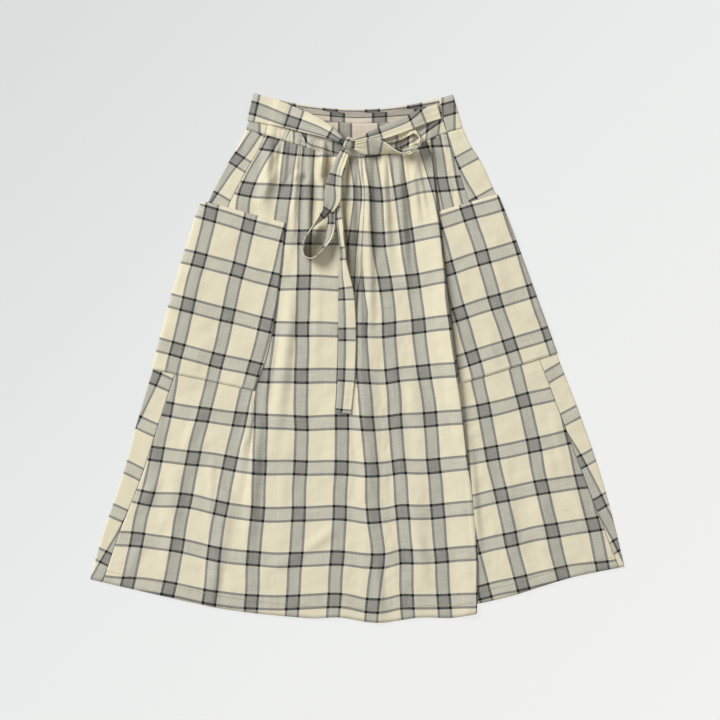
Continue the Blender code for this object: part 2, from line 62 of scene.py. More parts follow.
# Cloth and seams
WALL = 1.2
TIE_WALL = 1.6
SEAM_GAP = 0.3

# Heights of the layers, to the middle of their walls
BACK_HEIGHT = WALL / 2
FRONT_HEIGHT = 3.6
FOLD_RADIUS = (FRONT_HEIGHT - BACK_HEIGHT) / 2
FOLD_CENTRE = FOLD_RADIUS + WALL / 2
LAYER_STEP = WALL + SEAM_GAP

# Ends of the side folds, from the waist seam to the hem
WAIST_Y_LEFT, WAIST_Y_RIGHT = 391.7, 394.3
HEM_Y_LEFT, HEM_Y_RIGHT = -380.9, -359.1


def table(names, rows):
    """A table as one array of numbers for each named column."""
    return dict(zip(names.split(), np.array(rows, dtype=float).T))


# The side folds, and how far in from them the side seams lie on the front
SIDES = table("down left_x right_x left_seam right_seam", [
    (0.000, -190.9, 180.9, 33, 27),
    (0.035, -204.7, 192.8, 34, 32),
    (0.070, -220.7, 209.5, 34, 38),
    (0.155, -254.6, 239.1, 34, 46),
    (0.300, -292.7, 280.7, 36, 34),
    (0.525, -349.7, 345.2, 38, 29),
    (0.650, -378.9, 381.8, 36, 30),
    (0.770, -404.2, 413.3, 31, 28),
    (0.890, -435.5, 439.1, 26, 20),
    (1.000, -459.8, 459.2, 22, 9),
])

# How far the rows of the front dip below a straight line between the side folds
DIP_ACROSS = (0, 0.10, 0.27, 0.50, 0.78, 0.90, 1)
DIPS = table("down outer_left left middle right outer_right", [
    (0.000, 10.3, 30.3, 50.0, 28.7, 10.3),
    (0.155, 13.8, 37.2, 56.8, 30.0, 13.8),
    (0.520, 15.5, 42.0, 68.8, 44.7, 20.6),
    (1.000, 23.4, 59.7, 76.7, 47.6, 16.7),
])

# How far the cloth's own hem rises above those rows in its waves, near the middle of each. They
# start at the row WAVES_FROM and are full at the hem
HEM_WAVES = table("x rise half_width", [
    (-32, 5.0, 52),
    (34, -1.5, 34),
    (108, 6.0, 64),
])
WAVES_FROM = 0.84

# The knife fold: where its edge lies, how deep it is folded and how far it drops the left part.
# Its cloth turns over at one level above the front's own, and back under at another
KNIFE = table("down edge_x depth drop", [
    (0.000, 124.7, 6, 0),
    (0.155, 137.3, 12, 1),
    (0.300, 150.3, 18, 3),
    (0.525, 173.4, 21, 3),
    (0.650, 186.6, 17, 5),
    (0.770, 198.1, 12, 8),
    (0.890, 205.5, 8, 13),
    (1.000, 204.9, 5, 17),
])
KNIFE_BEND = 1.1
KNIFE_LEVEL = 2 * KNIFE_BEND
UPPER_TURN, LOWER_TURN = 1.5 * KNIFE_LEVEL, 0.5 * KNIFE_LEVEL
KNIFE_RAMP = 32
KNIFE_DROP_FROM = 0.45
KNIFE_FALL = 14

# Gathers and soft folds of the front: ridges from the row `top` to the row `end`, each with a crest
# that moves from top_x to end_x
RIDGES = table("top end top_x end_x half_width height", [
    (0.00, 0.15, -148, -165, 14, 7.0),
    (0.00, 0.12, -122, -132, 9, 4.5),
    (0.00, 0.22, -103, -112, 9, 5.5),
    (0.00, 0.28, -83, -88, 10, 6.0),
    (0.00, 0.18, -58, -60, 11, 5.0),
    (0.00, 0.30, -33, -38, 13, 6.5),
    (0.00, 0.24, -8, -6, 11, 5.5),
    (0.00, 0.42, 17, 24, 12, 6.5),
    (0.00, 0.26, 43, 54, 13, 6.0),
    (0.00, 0.34, 69, 88, 12, 6.5),
    (0.00, 0.20, 92, 108, 10, 5.5),
    (0.25, 0.72, -106, -150, 18, 5.0),
    (0.54, 0.98, -168, -196, 18, 5.0),
    (0.30, 1.08, 10, 26, 26, 4.0),
    (0.66, 1.10, -300, -352, 24, 3.0),
    (0.72, 1.10, -218, -264, 22, 3.5),
    (0.62, 1.10, 90, 118, 30, 2.5),
    (0.70, 1.10, 300, 352, 26, 2.5),
])
RIDGE_START = 0.45
GATHER_RISE = 0.25
SOFT_RISE = 0.35
LOWEST_GATHER = -0.6

# The cloth's own gathers stand higher than the plain solid's
GATHER_GAIN = 1.3

# Finer creases that only the cloth itself shows, on top of the same forms
CREASES = table("top end top_x end_x half_width height", [
    (0.02, 0.20, -150, -166, 18, 4.0),
    (0.00, 0.17, 96, 122, 7, 4.5),
    (0.00, 0.10, -136, -146, 5, 3.2),
    (0.00, 0.09, -112, -118, 4, 2.6),
    (0.00, 0.16, -93, -99, 5, 3.4),
    (0.00, 0.12, -70, -74, 5, 3.0),
    (0.00, 0.14, 4, 6, 5, 3.2),
    (0.00, 0.16, 56, 64, 5, 3.2),
    (0.00, 0.14, 82, 92, 5, 3.0),
    (0.00, 0.10, 108, 118, 4, 2.6),
    (0.14, 0.60, 3, 9, 9, 4.2),
    (0.12, 0.58, -14, -17, 8, 2.6),
    (0.20, 0.60, -66, -74, 12, 1.2),
    (0.30, 0.85, 56, 84, 16, 1.4),
    (0.55, 0.90, -120, -134, 14, 1.0),
    (0.50, 0.95, -330, -372, 12, 1.2),
    (0.60, 1.02, -246, -262, 10, 1.6),
    (0.66, 0.98, 250, 280, 14, 1.2),
    (0.58, 0.90, 330, 372, 12, 1.2),
])
# Hollows between the gathers, where the cloth sinks and its shade is deepest
HOLLOWS = table("top end top_x end_x half_width depth", [
    (0.00, 0.20, -70, -76, 6, 3.0),
    (0.00, 0.12, -49, -53, 9, 7.0),
    (0.00, 0.16, -20, -22, 6, 3.2),
    (0.10, 0.62, -3, -1, 6, 5.0),
    (0.00, 0.34, 36, 48, 7, 8.0),
    (0.00, 0.26, 30, 36, 6, 3.2),
    (0.00, 0.18, 110, 133, 9, 8.0),
])

# Soft folds of washed cloth that wasn't pressed, over the front and its pockets: the middle of
# each, the way it runs in degrees from X, and how far it reaches along and to each side
FOLDS = table("x y turn half_length half_width height", [
    (-180, -138, 82, 110, 7, -3.2),
    (-192, -138, 82, 105, 12, 4.0),
    (-150, -20, 80, 90, 9, 2.4),
    (-247, -379, 86, 66, 13, 3.2),
    (-231, -372, 88, 60, 9, -1.8),
    (-357, -231, 58, 52, 16, 2.8),
    (-330, -300, 74, 60, 14, -1.8),
    (-285, -131, 68, 60, 17, 2.6),
    (-262, -180, 64, 50, 14, -1.8),
    (-300, -68, 20, 60, 15, -2.2),
    (-380, -340, 66, 50, 14, 2.4),
    (-64, -313, 39, 66, 15, 3.0),
    (-80, -336, 36, 58, 13, -2.0),
    (-128, -352, 24, 54, 16, 2.2),
    (-10, -395, 80, 60, 14, -1.8),
    (36, -392, 91, 100, 12, 3.6),
    (56, -400, 94, 80, 11, -2.2),
    (110, -330, 100, 70, 15, 2.4),
    (176, -368, 26, 52, 18, -2.4),
    (200, -240, 95, 175, 11, 5.0),
    (219, -255, 96, 150, 9, -3.2),
    (207, -127, 4, 34, 6, 2.4),
    (209, -138, 6, 34, 6, -1.8),
    (262, -288, 104, 66, 20, 2.8),
    (300, -330, 112, 60, 15, -2.2),
    (330, -180, 108, 70, 18, 2.2),
    (383, -262, 112, 60, 15, 2.4),
    (400, -330, 118, 46, 13, -2.0),
    (-40, -150, 88, 120, 20, 2.0),
    (-70, -60, 84, 110, 18, -1.6),
    (100, -90, 97, 130, 18, 2.2),
    (60, -180, 92, 110, 14, -1.8),
    (140, 60, 98, 120, 14, 2.2),
    (-285, 120, 78, 80, 22, 1.8),
    (-230, 60, 30, 70, 18, -1.6),
    (-270, 10, 70, 60, 18, 1.6),
    (245, 130, 104, 80, 22, 1.8),
    (290, 50, 150, 70, 18, -1.6),
    (230, 20, 100, 70, 16, 1.6),
    (-107, 312, 40, 32, 10, 2.4),
    (-92, 306, 64, 30, 9, -3.4),
    (-92, 316, 4, 20, 6, 2.0),
    (-150, 300, 62, 46, 13, 5.0),
    (-128, 292, 58, 40, 9, -2.6),
    (-62, 334, 84, 40, 8, 14.0),
    (-49, 331, 84, 34, 9, -8.0),
    (12, 262, 95, 120, 18, 6.0),
    (41, 275, 93, 96, 4.5, -11.0),
    (-22, 226, 95, 124, 24, 10.0),
    (-21.5, 226, 95, 118, 4.2, -16.0),
    (128, 330, 100, 34, 8, -4.0),
    (180, 380, 127, 16, 4, -2.6),
    (186, 384, 127, 18, 4, 1.8),
    (206, 352, 120, 26, 8, 2.0),
    (-206, 356, 62, 30, 8, 2.0),
    (-222, 318, 66, 26, 7, -1.8),
])

# The left layer puffs up along the knife fold's edge, so that a deep shade lies beside it
KNIFE_PUFF = 10.5
PUFF_RAMP = 26
PUFF_MIDDLE, PUFF_REACH = 0.42, 0.46

# The mesh of each sheet. The panels' rows lie closer together at the waist
PANEL_ROWS = np.linspace(0, 1, 132) ** 1.15
FRONT_LEFT_COLUMNS = 200
FRONT_RIGHT_COLUMNS = 64
TURN_COLUMNS = 9
WRAP_COLUMNS = 12
UNDER_COLUMNS = 40
POCKET_ROWS = 68
POCKET_FRONT_COLUMNS = 52
POCKET_TURN_COLUMNS = 11
POCKET_UNDER_COLUMNS = 6

# The back shows inside above the front, and ends just above it at the hem
BACK_RISE_WAIST = 60
BACK_RISE_HEM = 9
BACK_RISE_FALL = 4

# The pockets: rows of their top and bottom edges, and the reach of each under the back
POCKET_UNDER = 45
POCKET_LIFT_RAMP = 34
POCKET_LEFT = (0.161, 0.533)
POCKET_RIGHT = (0.151, 0.514)
# The rows between which the back is lifted over them: where it starts, is full, is last full, ends
LIFT_ROWS = (0.12, 0.150, 0.534, 0.57)
POCKET_SHAPE = table("along left_edge_x left_proud right_proud", [
    (0.00, -123.8, 11.0, 2.8),
    (0.30, -133.3, 11.0, 3.6),
    (0.58, -143.6, 8.5, 2.8),
    (0.78, -155.5, 5.0, 2.2),
    (1.00, -177.2, 1.0, 1.0),
])
POCKET_CLEAR_OF_KNIFE = 3.2

# Columns of the back, in from each fold, that follow its lift over the pockets
PANEL_UNDER = (12, 28, POCKET_UNDER + 2 * WALL, POCKET_UNDER + POCKET_LIFT_RAMP + 2)

# The waistbands
BAND_TOP_LEFT = (-178.0, 455.4)
BAND_TOP_RIGHT = (164.3, 452.8)
BACK_BAND_DIP = 27
BACK_BAND_LEAN, LEAN_MIDDLE, LEAN_REACH = 1.5, 0.5, 0.45
BACK_BAND_ROWS = np.linspace(0, 1, 15)
BACK_BAND_UNDER = (12, 28, 50, 80)
FRONT_BAND_TOP = table("across drop", [
    (0.00, 3),
    (0.09, 11),
    (0.25, 34),
    (0.40, 63),
    (0.48, 81),
    (0.56, 68),
    (0.68, 54),
    (0.80, 39),
    (0.92, 24),
    (1.00, 14),
])
MOUTH = {"across": 0.48, "half_width": 0.40, "height": 11, "belly": 0.5}
FRONT_BAND_ROWS = np.linspace(0, 1, 17)
FRONT_BAND_COLUMNS = 220
# The gathers run this far up the front waistband
GATHER_REACH = 0.6

# The bow. Each ribbon has one row a station: its place, height over the cloth, width and roll in
# degrees
KNOT_PLACE = (-15.5, 367.6)
KNOT_SIZE = (15, 22, 13)
KNOT_TILT = math.radians(-24)
RIBBON_COLUMNS = "x y clear width roll"
LEFT_TIE = table(RIBBON_COLUMNS, [
    (-184.5, 431.2, 0.0, 48, 0),
    (-160.0, 425.5, 0.0, 46, 0),
    (-141.9, 421.0, 0.4, 44, 0),
    (-114.4, 412.4, 1.0, 39, 0),
    (-85.1, 402.1, 2.0, 34, 3),
    (-54.2, 389.0, 4.0, 24, 8),
    (-38.0, 379.5, 5.0, 16, 12),
    (-27.0, 372.6, 5.5, 9, 0),
])
RIGHT_TIE = table(RIBBON_COLUMNS, [
    (140.5, 423.4, 0.0, 26, 0),
    (124.0, 418.4, 1.5, 26, 0),
    (107.5, 412.0, 4.5, 26, 0),
    (73.1, 397.6, 6.0, 25, 0),
    (38.7, 384.2, 6.0, 21, 5),
    (12.0, 375.8, 6.5, 14, 8),
    (-4.0, 371.8, 7.0, 9, 0),
])
RIGHT_LOOP = table(RIBBON_COLUMNS, [
    (-4.5, 361.5, 8.0, 12, 30),
    (9.5, 360.4, 8.5, 24, 26),
    (30.1, 362.0, 9.5, 29, 28),
    (47.3, 358.5, 11.5, 28, 52),
    (61.1, 354.0, 13.0, 27, 78),
    (76.0, 350.5, 13.6, 26, 90),
    (91.5, 353.5, 13.6, 26, 90),
    (103.0, 361.0, 13.6, 26, 90),
    (107.5, 372.0, 13.2, 26, 88),
    (104.5, 381.0, 7.4, 12, 84),
    (98.5, 388.0, 3.2, 8, 44),
    (88.0, 389.5, 1.4, 17, 6),
    (64.0, 384.5, 0.6, 27, 0),
    (36.0, 379.0, 0.6, 24, 0),
    (10.0, 374.5, 0.6, 15, 0),
    (-4.2, 372.2, 1.6, 8, 0),
])
LEFT_LOOP = table(RIBBON_COLUMNS, [
    (-20.0, 356.4, 8.4, 13, 0),
    (-28.0, 339.0, 8.0, 19, 0),
    (-34.4, 322.9, 7.6, 20, 0),
    (-41.3, 293.7, 7.6, 27, -6),
    (-43.8, 271.3, 8.4, 29, -9),
    (-50.0, 254.5, 12.0, 20, -19),
    (-63.0, 240.0, 15.0, 17, -60),
    (-78.3, 222.3, 13.0, 24, -90),
    (-91.2, 201.5, 13.0, 25, -90),
    (-95.2, 186.0, 13.0, 25, -90),
    (-89.0, 173.0, 13.0, 25, -90),
    (-77.5, 170.5, 13.0, 25, -90),
    (-66.2, 178.5, 13.0, 25, -88),
    (-57.0, 191.5, 12.8, 24, -78),
    (-49.0, 209.0, 10.0, 18, -46),
    (-45.0, 231.0, 4.6, 13, -10),
    (-45.0, 262.7, 3.8, 13, 0),
    (-40.5, 297.1, 3.8, 13, 0),
    (-30.0, 331.5, 4.2, 11, 0),
    (-21.0, 351.0, 4.8, 8, 0),
])
TAIL = table(RIBBON_COLUMNS, [
    (-18.2, 352.2, 1.2, 12, 0),
    (-26.0, 336.0, 0.6, 18, 0),
    (-34.5, 310.0, 0.8, 19, 8),
    (-37.4, 284.5, 1.2, 18, 16),
    (-35.2, 254.1, 1.2, 15, 20),
    (-31.5, 228.0, 2.6, 14, 28),
    (-28.5, 204.5, 6.0, 15, 54),
    (-25.0, 183.0, 8.0, 18, 66),
    (-24.6, 162.0, 7.4, 21, 58),
    (-23.4, 140.6, 4.2, 26, 42),
    (-20.2, 116.5, 1.4, 28, 26),
    (-18.9, 90.7, 0.2, 29, 4),
    (-18.1, 64.9, 0.0, 30, 0),
    (-18.1, 13.3, 0.0, 30, 0),
    (-19.8, -38.3, 0.0, 29, 0),
    (-22.4, -72.7, 0.0, 27, 0),
    (-24.4, -95.0, 0.0, 26, 0),
])
RIBBON_ACROSS = 18
RIBBON_COUNTS = {
    "tie_left": 90, "tie_right": 80, "bow_loop_right": 150, "bow_loop_left": 190, "bow_tail": 170,
}
# A ribbon that is drawn in narrower than its cut bunches up into this many pleats along it, which
# grow no more once this share of its width is gone
PLEATS = 2.5
PLEAT_HEIGHT = 3.2
MOST_DRAWN_IN = 0.7
# A ribbon rests on the highest cloth within this distance
DRAPE_REACH = 5
# The row under a point is found by halving the skirt's length this many times
SEARCH_STEPS = 18

# How the threads wander off a straight line: waves of so many millimetres a radian along a thread
# and from thread to thread
WANDER = table("along aside amount start", [
    (23, 71, 0.55, 0.0),
    (37, -94, 0.60, 1.7),
    (11, 140, 0.28, 4.1),
])

# The front's warp bands on the left of the knife fold: the middle of each band at a Y
FRONT_WARP = table("y band_1 band_2 band_3 band_4 band_5 band_6 band_7 band_8 band_9 band_10", [
    (-455, -407, -335, -259, -185, -114, -43, 24, 89, 153, 216),
    (-417, -400, -328, -255, -183, -112, -40, 27, 86, 149, 216),
    (-331, -383, -311, -245, -177, -105, -35, 34, 82, 143, 216),
    (-270, -371, -302, -237, -172, -101, -30, 28, 78, 138, 212),
    (-202, -353, -289, -224, -169, -99, -28, 25, 73, 133, 204),
    (-124, -336, -271, -206, -167, -97, -27, 18, 66, 127, 194),
    (-21, -319, -247, -185, -161, -96, -23, 9, 59, 114, 180),
    (99, -305, -249, -192, -147, -94, -18, 5, 51, 100, 163),
    (203, -297, -250, -197, -135, -90, -7, 9, 36, 85, 152),
    (289, -280, -240, -192, -125, -89, 0, 12, 31, 75, 135),
    (364, -245, -206, -151, -114, -83, -10, 3, 19, 61, 109),
])

FRONT_WARP_RIGHT = table("y band_10 band_11 band_12 band_13", [
    (-399, 217, 286, 360, 429),
    (-296, 191, 260, 334, 408),
    (-210, 173, 241, 314, 386),
    (-124, 157, 224, 298, 367),
    (-40, 138, 207, 277, 349),
    (99, 135, 180, 231, 312),
    (256, 136, 157, 193, 245),
    (313, 127, 145, 180, 226),
    (375, 118, 134, 167, 204),
])

# The front's weft bands on the left of the knife fold: the middle of each band at an X
FRONT_WEFT = table("x row_0 row_1 row_2 row_3 row_4 row_5 row_6 row_7 row_8 row_9 row_10", [
    (-426, 409, 332, 263, 185, 113, 22, -69, -152, -229, -309, -387),
    (-357, 400, 323, 251, 175, 103, 13, -83, -163, -242, -315, -392),
    (-288, 392, 309, 233, 158, 86, 0, -95, -172, -246, -326, -405),
    (-245, 385, 301, 223, 147, 74, -11, -100, -177, -258, -338, -413),
    (-176, 371, 288, 211, 130, 53, -30, -109, -188, -268, -345, -420),
    (-108, 361, 285, 207, 129, 49, -31, -112, -189, -269, -347, -420),
    (-13, 359, 282, 206, 127, 48, -31, -111, -190, -268, -346, -420),
    (16, 360, 281, 204, 127, 48, -32, -114, -194, -273, -349, -425),
    (48, 362, 280, 203, 127, 48, -32, -112, -192, -271, -349, -425),
    (74, 366, 286, 207, 129, 50, -29, -109, -187, -265, -342, -419),
    (99, 370, 294, 213, 132, 53, -27, -108, -187, -265, -342, -420),
    (150, 378, 299, 221, 141, 60, -22, -104, -184, -262, -339, -419),
    (202, 383, 302, 227, 146, 65, -16, -98, -178, -258, -336, -417),
])

# The same on the right of the knife fold
FRONT_WEFT_RIGHT = table("x row_0 row_1 row_5 row_6 row_7 row_8 row_9 row_10", [
    (133, 375, 297, -21, -105, -178, -260, -341, -420),
    (185, 378, 301, -14, -96, -172, -251, -331, -410),
    (245, 388, 309, 0, -85, -162, -237, -317, -396),
    (305, 400, 321, 15, -70, -151, -225, -302, -381),
    (357, 412, 333, 29, -57, -137, -216, -294, -370),
    (417, 426, 347, 43, -43, -124, -207, -284, -363),
])

# The pockets' bands, which run on a slant
POCKET_LEFT_WARP = table("y band_0 band_1 band_2", [
    (-55, -327, -253, -187),
    (263, -249, -179, -105),
])

POCKET_LEFT_WEFT = table("x row_0 row_1 row_2 row_3", [
    (-305, 261, 176, 94, 12),
    (-150, 217, 136, 55, -26),
])

POCKET_RIGHT_WARP = table("y band_0 band_1 band_2", [
    (-30, 207, 278, 352),
    (254, 126, 189, 260),
])

POCKET_RIGHT_WEFT = table("x row_0 row_1 row_2 row_3", [
    (150, 235, 151, 68, -14),
    (322, 287, 205, 123, 40),
])

# The bands of the back's two strips that show on the front, beside the side seams
STRIP_LEFT_WARP = table("y band_0 band_1", [
    (-399, -532, -458),
    (-351, -507, -432),
    (-262, -456, -381),
    (-124, -393, -318),
    (-30, -350, -275),
    (266, -262, -183),
    (289, -247, -164),
    (326, -221, -135),
    (347, -202, -116),
    (376, -181, -99),
])

STRIP_LEFT_WEFT = table("x row_0 row_1 row_5 row_6 row_7 row_8 row_9 row_10", [
    (-443, 483, 383, 6, -81, -168, -253, -339, -424),
    (-305, 400, 306, -55, -143, -231, -315, -401, -485),
    (-185, 326, 239, -109, -197, -284, -369, -455, -539),
])

STRIP_RIGHT_WARP = table("y band_0 band_1", [
    (-358, 471, 545),
    (-314, 449, 523),
    (-255, 418, 491),
    (-234, 408, 482),
    (-167, 372, 446),
    (-124, 347, 422),
    (275, 194, 273),
    (326, 165, 245),
    (347, 155, 236),
    (373, 147, 228),
])

STRIP_RIGHT_WEFT = table("x row_0 row_1 row_5 row_6 row_7 row_8 row_9 row_10", [
    (159, 328, 237, -133, -214, -301, -391, -491, -580),
    (314, 412, 328, -40, -128, -216, -306, -403, -492),
    (452, 486, 405, 39, -52, -141, -229, -319, -408),
])

# Where the check runs under the skirt and inside it
INSIDE_BAND_X = -21.5
INSIDE_ROW_Y = 338

# The waistbands' check
FRONT_BAND_WARP = table("up band_0 band_1 band_2 band_3 band_4 band_5", [
    (0, -172, -99, -31, 26, 76, 128),
    (1, -169, -99, -31, 30, 80, 134),
])
FRONT_BAND_WEFT = table("across up", [
    (0.00, -0.45),
    (0.085, -0.40),
    (0.110, 0.30),
    (0.25, 0.36),
    (0.80, 0.40),
    (1.00, 0.75),
])
FRONT_BAND_REPEATS = 0.55
BACK_BAND_X = -34.5
BACK_BAND_REPEAT = 72.5
BACK_BAND_REPEAT_RIGHT = 68
BACK_BAND_RIGHT = 156.5
BACK_BAND_WEFT_UP = 0.64
BACK_BAND_ENDS = 0.85
BACK_BAND_MIDDLE = 0.62
# Inside, the facing's turned edge shows above this height, with its check slipped by this many
# repeats
FACING_EDGE, FACING_SLIP = 0.76, 0.17

# The ribbons' check: how far along its first crossing band lies, the repeat of those bands, its
# width before it is drawn in, and the middle of its lengthwise stripe from its left edge, at its
# start and end
RIBBON_CHECK = {
    "tie_left": (0, 79, 48, 25, 32),
    "tie_right": (41, 80, 30, 46, 27),
    "bow_loop_right": (34, 80, 30, -22, -22),
    "bow_loop_left": (57, 62, 30, 29, 12),
    "bow_tail": (39, 70, 30, 26, 29),
}
# A stripe has slid to its end's place by this share of the ribbon's length, turned over
STRIPE_SLIDE = 2.4
# This much on each side of a band's middle keeps its width where the cloth is gathered, but for the
# bands that lie partly in a fold. Two bands keep no more than KEPT_MOST of the way between them in
# all, and in the weft, or where bands are left out, no more than KEPT_SHARE of it each
KEPT_BAND = 13.5
KEPT_MOST = 0.98
KEPT_SHARE = 0.3
BANDS_SHOWN = table("y band_5 band_6 band_7 band_8 band_10 band_11", [
    (80, 1.00, 1.00, 1.00, 1.00, 1.00, 1.00),
    (150, 1.00, 0.75, 0.10, 1.00, 0.80, 1.00),
    (270, 1.00, 0.62, 0.03, 1.00, 0.60, 0.85),
    (364, 0.90, 0.60, 0.03, 0.90, 0.60, 0.80),
])

# Topstitching: each stitch lies on the cloth as a bead of thread, drawn about twice too coarse
THREAD = 1.0
STITCH_SHARE = 0.62
STITCH_SWELL = (0.45, 0.9, 1.0, 0.9, 0.45)
STITCH_SIDES = 6
WAIST_STITCH_UP = 0.07
WAIST_STITCHES = 0.18, 0.72
POCKET_BOTTOM_ROW = -2
HEM_STITCH = 19

# The knot
KNOT_COLUMNS = 49
KNOT_ROWS = 21
KNOT_CREASE, KNOT_CREASES = 0.12, 2.5
KNOT_TWIST = 1.6
KNOT_SHOULDER = 3.2
KNOT_REPEAT, KNOT_BAND, KNOT_BAND_UP = 1.9, 0.16, 0.08
KNOT_WALL = 0.8

# The two sides of the check cotton, and their colours from the ground through a band and a crossing
# to a dot where borders cross
OUTSIDE, INSIDE = "yarn_dyed_check_cotton", "yarn_dyed_check_cotton_wrong_side"
OUTSIDE_COLOURS = ("#EAE1C4", "#C3C1B1", "#96948D", "#666561", "#020203")
INSIDE_COLOURS = ("#E2D4C0", "#AFA99E", "#7E7B76", "#4A4846", "#0E0E10")
THREAD_COLOUR = "#C9BC98"
# How dark a band is, for the warp and the weft, and a border line. The colours end at FULL_SHADE
WARP_SHADE, WEFT_SHADE = 0.58, 0.42
BORDER_SHADE = 1.08
FULL_SHADE = 2
# Yarns stray, so each border line blurs over this many millimetres to each side of its edges
LINE_BLUR = 0.3
# The widest distance from a band's middle, in millimetres, that its ramp covers
STRIPE_REACH = 50
# Blender's wave texture turns through this many radians a unit, along one axis and on the diagonal
AXIS_TURN, DIAGONAL_TURN = 20, 10
# The hatch inside the bands: from line to line along a thread, how dark, and how much it strays
HATCH_PITCH, HATCH_DEPTH, HATCH_STRAY = 5.6, 0.4, 0.7
# Slubs: how dark, how many a millimetre across the yarns, and their width over their length
SLUB_SHADE, SLUB_DENSITY, SLUB_WIDTH = 0.17, 0.45, 0.06
# The weave: from thread to thread, its share in the relief, and the relief's height in metres
THREAD_PITCH, WEAVE_SHARE = 1.7, 0.3
RELIEF_STRENGTH, RELIEF_HEIGHT = 0.35, 0.0002
# Soft rumples all over: their size in millimetres and their height in metres
RUMPLE_SIZE = 42
RUMPLE_HEIGHT = 0.0042
# The grain of the sewing thread: how many a metre, and their height in metres
GRAIN_DENSITY, GRAIN_HEIGHT = 900.0, 0.0001

# The stage, in metres and watts
FLOOR_SIZE = 12
FLOOR_CLEARANCE = 0.0004
# The floor paper's glow is painted light, which fills in the shadows cast on it. It runs from a
# painted shade at one corner, through its middle, to painted light at the other. FLOOR_PAPER is the
# paper's own colour under the glow.
FLOOR_PAINTED_SHADE, FLOOR_GLOW_MIDDLE, FLOOR_PAINTED_LIGHT = "#CDCFCE", "#DFE1E0", "#E7E7E5"
FLOOR_PAPER = "#5A5A5A"
GRADIENT_TURN = math.radians(45)
GRADIENT_SCALE = 0.6
GRADIENT_START = 0.5
SKY_COLOUR = "#FAFAFA"
SKY_STRENGTH = 0.24
LIGHTS = (
    ("key_softbox", (-6.1, 5.1, 6.4), 5.4, 1020),
    ("fill_softbox", (6.0, -5.0, 6.6), 5.0, 180),
)
SENSOR = 36
CAMERA_HEIGHT = 6
CAMERA_SEES = 100
FRAME_WIDTH = 1.2384
FRAME_MIDDLE = (0.0046, -0.0044)


def smooth(stations, values, at):
    """Values at `at` on a curve with continuous slope through the stations' values.

    `values` has one row a station, and may have one column for each place in `at`.
    """
    stations, values = np.asarray(stations, float), np.asarray(values, float)
    at = np.clip(at, stations[0], stations[-1])
    slopes = np.gradient(values, stations, axis=0)
    index = np.clip(np.searchsorted(stations, at, side="right") - 1, 0, len(stations) - 2)
    span = stations[index + 1] - stations[index]
    t = (at - stations[index]) / span

    def picked(rows, place):
        if rows.ndim == 1:
            return rows[place]
        return np.take_along_axis(rows, place[None], axis=0)[0]

    start, end = picked(values, index), picked(values, index + 1)
    bend_start, bend_end = picked(slopes, index) * span, picked(slopes, index + 1) * span
    return (
        (2 * t**3 - 3 * t**2 + 1) * start + (t**3 - 2 * t**2 + t) * bend_start
        + (3 * t**2 - 2 * t**3) * end + (t**3 - t**2) * bend_end
    )


def read(rows, column, at):
    """A column of a table at places along its first column."""
    return smooth(next(iter(rows.values())), rows[column], at)


def mix(start, end, share):
    """`start` where the share is 0, and `end` where it is 1."""
    return start + (end - start) * share


def ease(value):
    """0 to 1 with no slope at either end."""
    value = np.clip(value, 0, 1)
    return value * value * (3 - 2 * value)


def bell(distance, half_width):
    """1 in the middle and 0 from half_width on."""
    return 0.5 + 0.5 * np.cos(np.pi * np.clip(np.abs(distance) / half_width, 0, 1))


def arch(across, height):
    """0 at both ends of a row, and `height` in its middle."""
    return height * 4 * across * (1 - across)


def side(down, column):
    """A column of the table of sides at `down`."""
    return read(SIDES, column, down)


def width(down):
    """Distance between the side folds."""
    return side(down, "right_x") - side(down, "left_x")


def share_across(x, down):
    """`across` at X."""
    return (x - side(down, "left_x")) / width(down)


def back_reach(down):
    """How far in from each side fold the back's ends come on the front."""
    return [side(down, name) - SEAM_GAP / 2 for name in ("left_seam", "right_seam")]


def knife(down, column):
    """A column of the knife fold's table at `down`."""
    return read(KNIFE, column, down)


def row_line(across, down):
    """Y of the straight line between the side folds."""
    left = mix(WAIST_Y_LEFT, HEM_Y_LEFT, down)
    right = mix(WAIST_Y_RIGHT, HEM_Y_RIGHT, down)
    return mix(left, right, across)


def dip(across, down):
    """How far a row of the front hangs below its straight line."""
    across, down = np.broadcast_arrays(np.asarray(across, float), np.asarray(down, float))
    levels = [read(DIPS, name, down) for name in DIPS if name != "down"]
    at_sides = np.zeros_like(down)
    return smooth(DIP_ACROSS, np.stack([at_sides, *levels, at_sides]), across)


def lift(x, down):
    """How far the panels are raised where a pocket runs on under them."""
    edge = np.minimum(x - side(down, "left_x"), side(down, "right_x") - x)
    sideways = 1 - ease((edge - POCKET_UNDER - WALL) / POCKET_LIFT_RAMP)
    first, full, last, end = LIFT_ROWS
    lengthways = ease((down - first) / (full - first)) * (1 - ease((down - last) / (end - last)))
    return LAYER_STEP * sideways * lengthways


def ridges(x, down, rows):
    """Height of a table's gathers and soft folds, added up."""
    x, down = np.broadcast_arrays(np.asarray(x, float), np.asarray(down, float))
    height = np.zeros(x.shape)
    for top, end, top_x, end_x, half_width, crest in zip(*rows.values()):
        along = (down - top) / (end - top)
        middle = mix(top_x, end_x, along)
        if top > 0:
            grow = ease(along / SOFT_RISE)
        else:
            grow = mix(RIDGE_START, 1, ease(along / GATHER_RISE))
        fade = np.where(along >= 0, grow * (1 - ease((along - SOFT_RISE) / (1 - SOFT_RISE))), 0)
        height += crest * fade * bell(x - middle, half_width)
    return height


def soft_folds(x, y):
    """Height of the table of soft folds at points, added up."""
    height = np.zeros(np.broadcast(x, y).shape)
    for middle_x, middle_y, turn, half_length, half_width, crest in zip(*FOLDS.values()):
        cos, sin = math.cos(math.radians(turn)), math.sin(math.radians(turn))
        along = (x - middle_x) * cos + (y - middle_y) * sin
        aside = (y - middle_y) * cos - (x - middle_x) * sin
        height = height + crest * bell(along, half_length) * bell(aside, half_width)
    return height


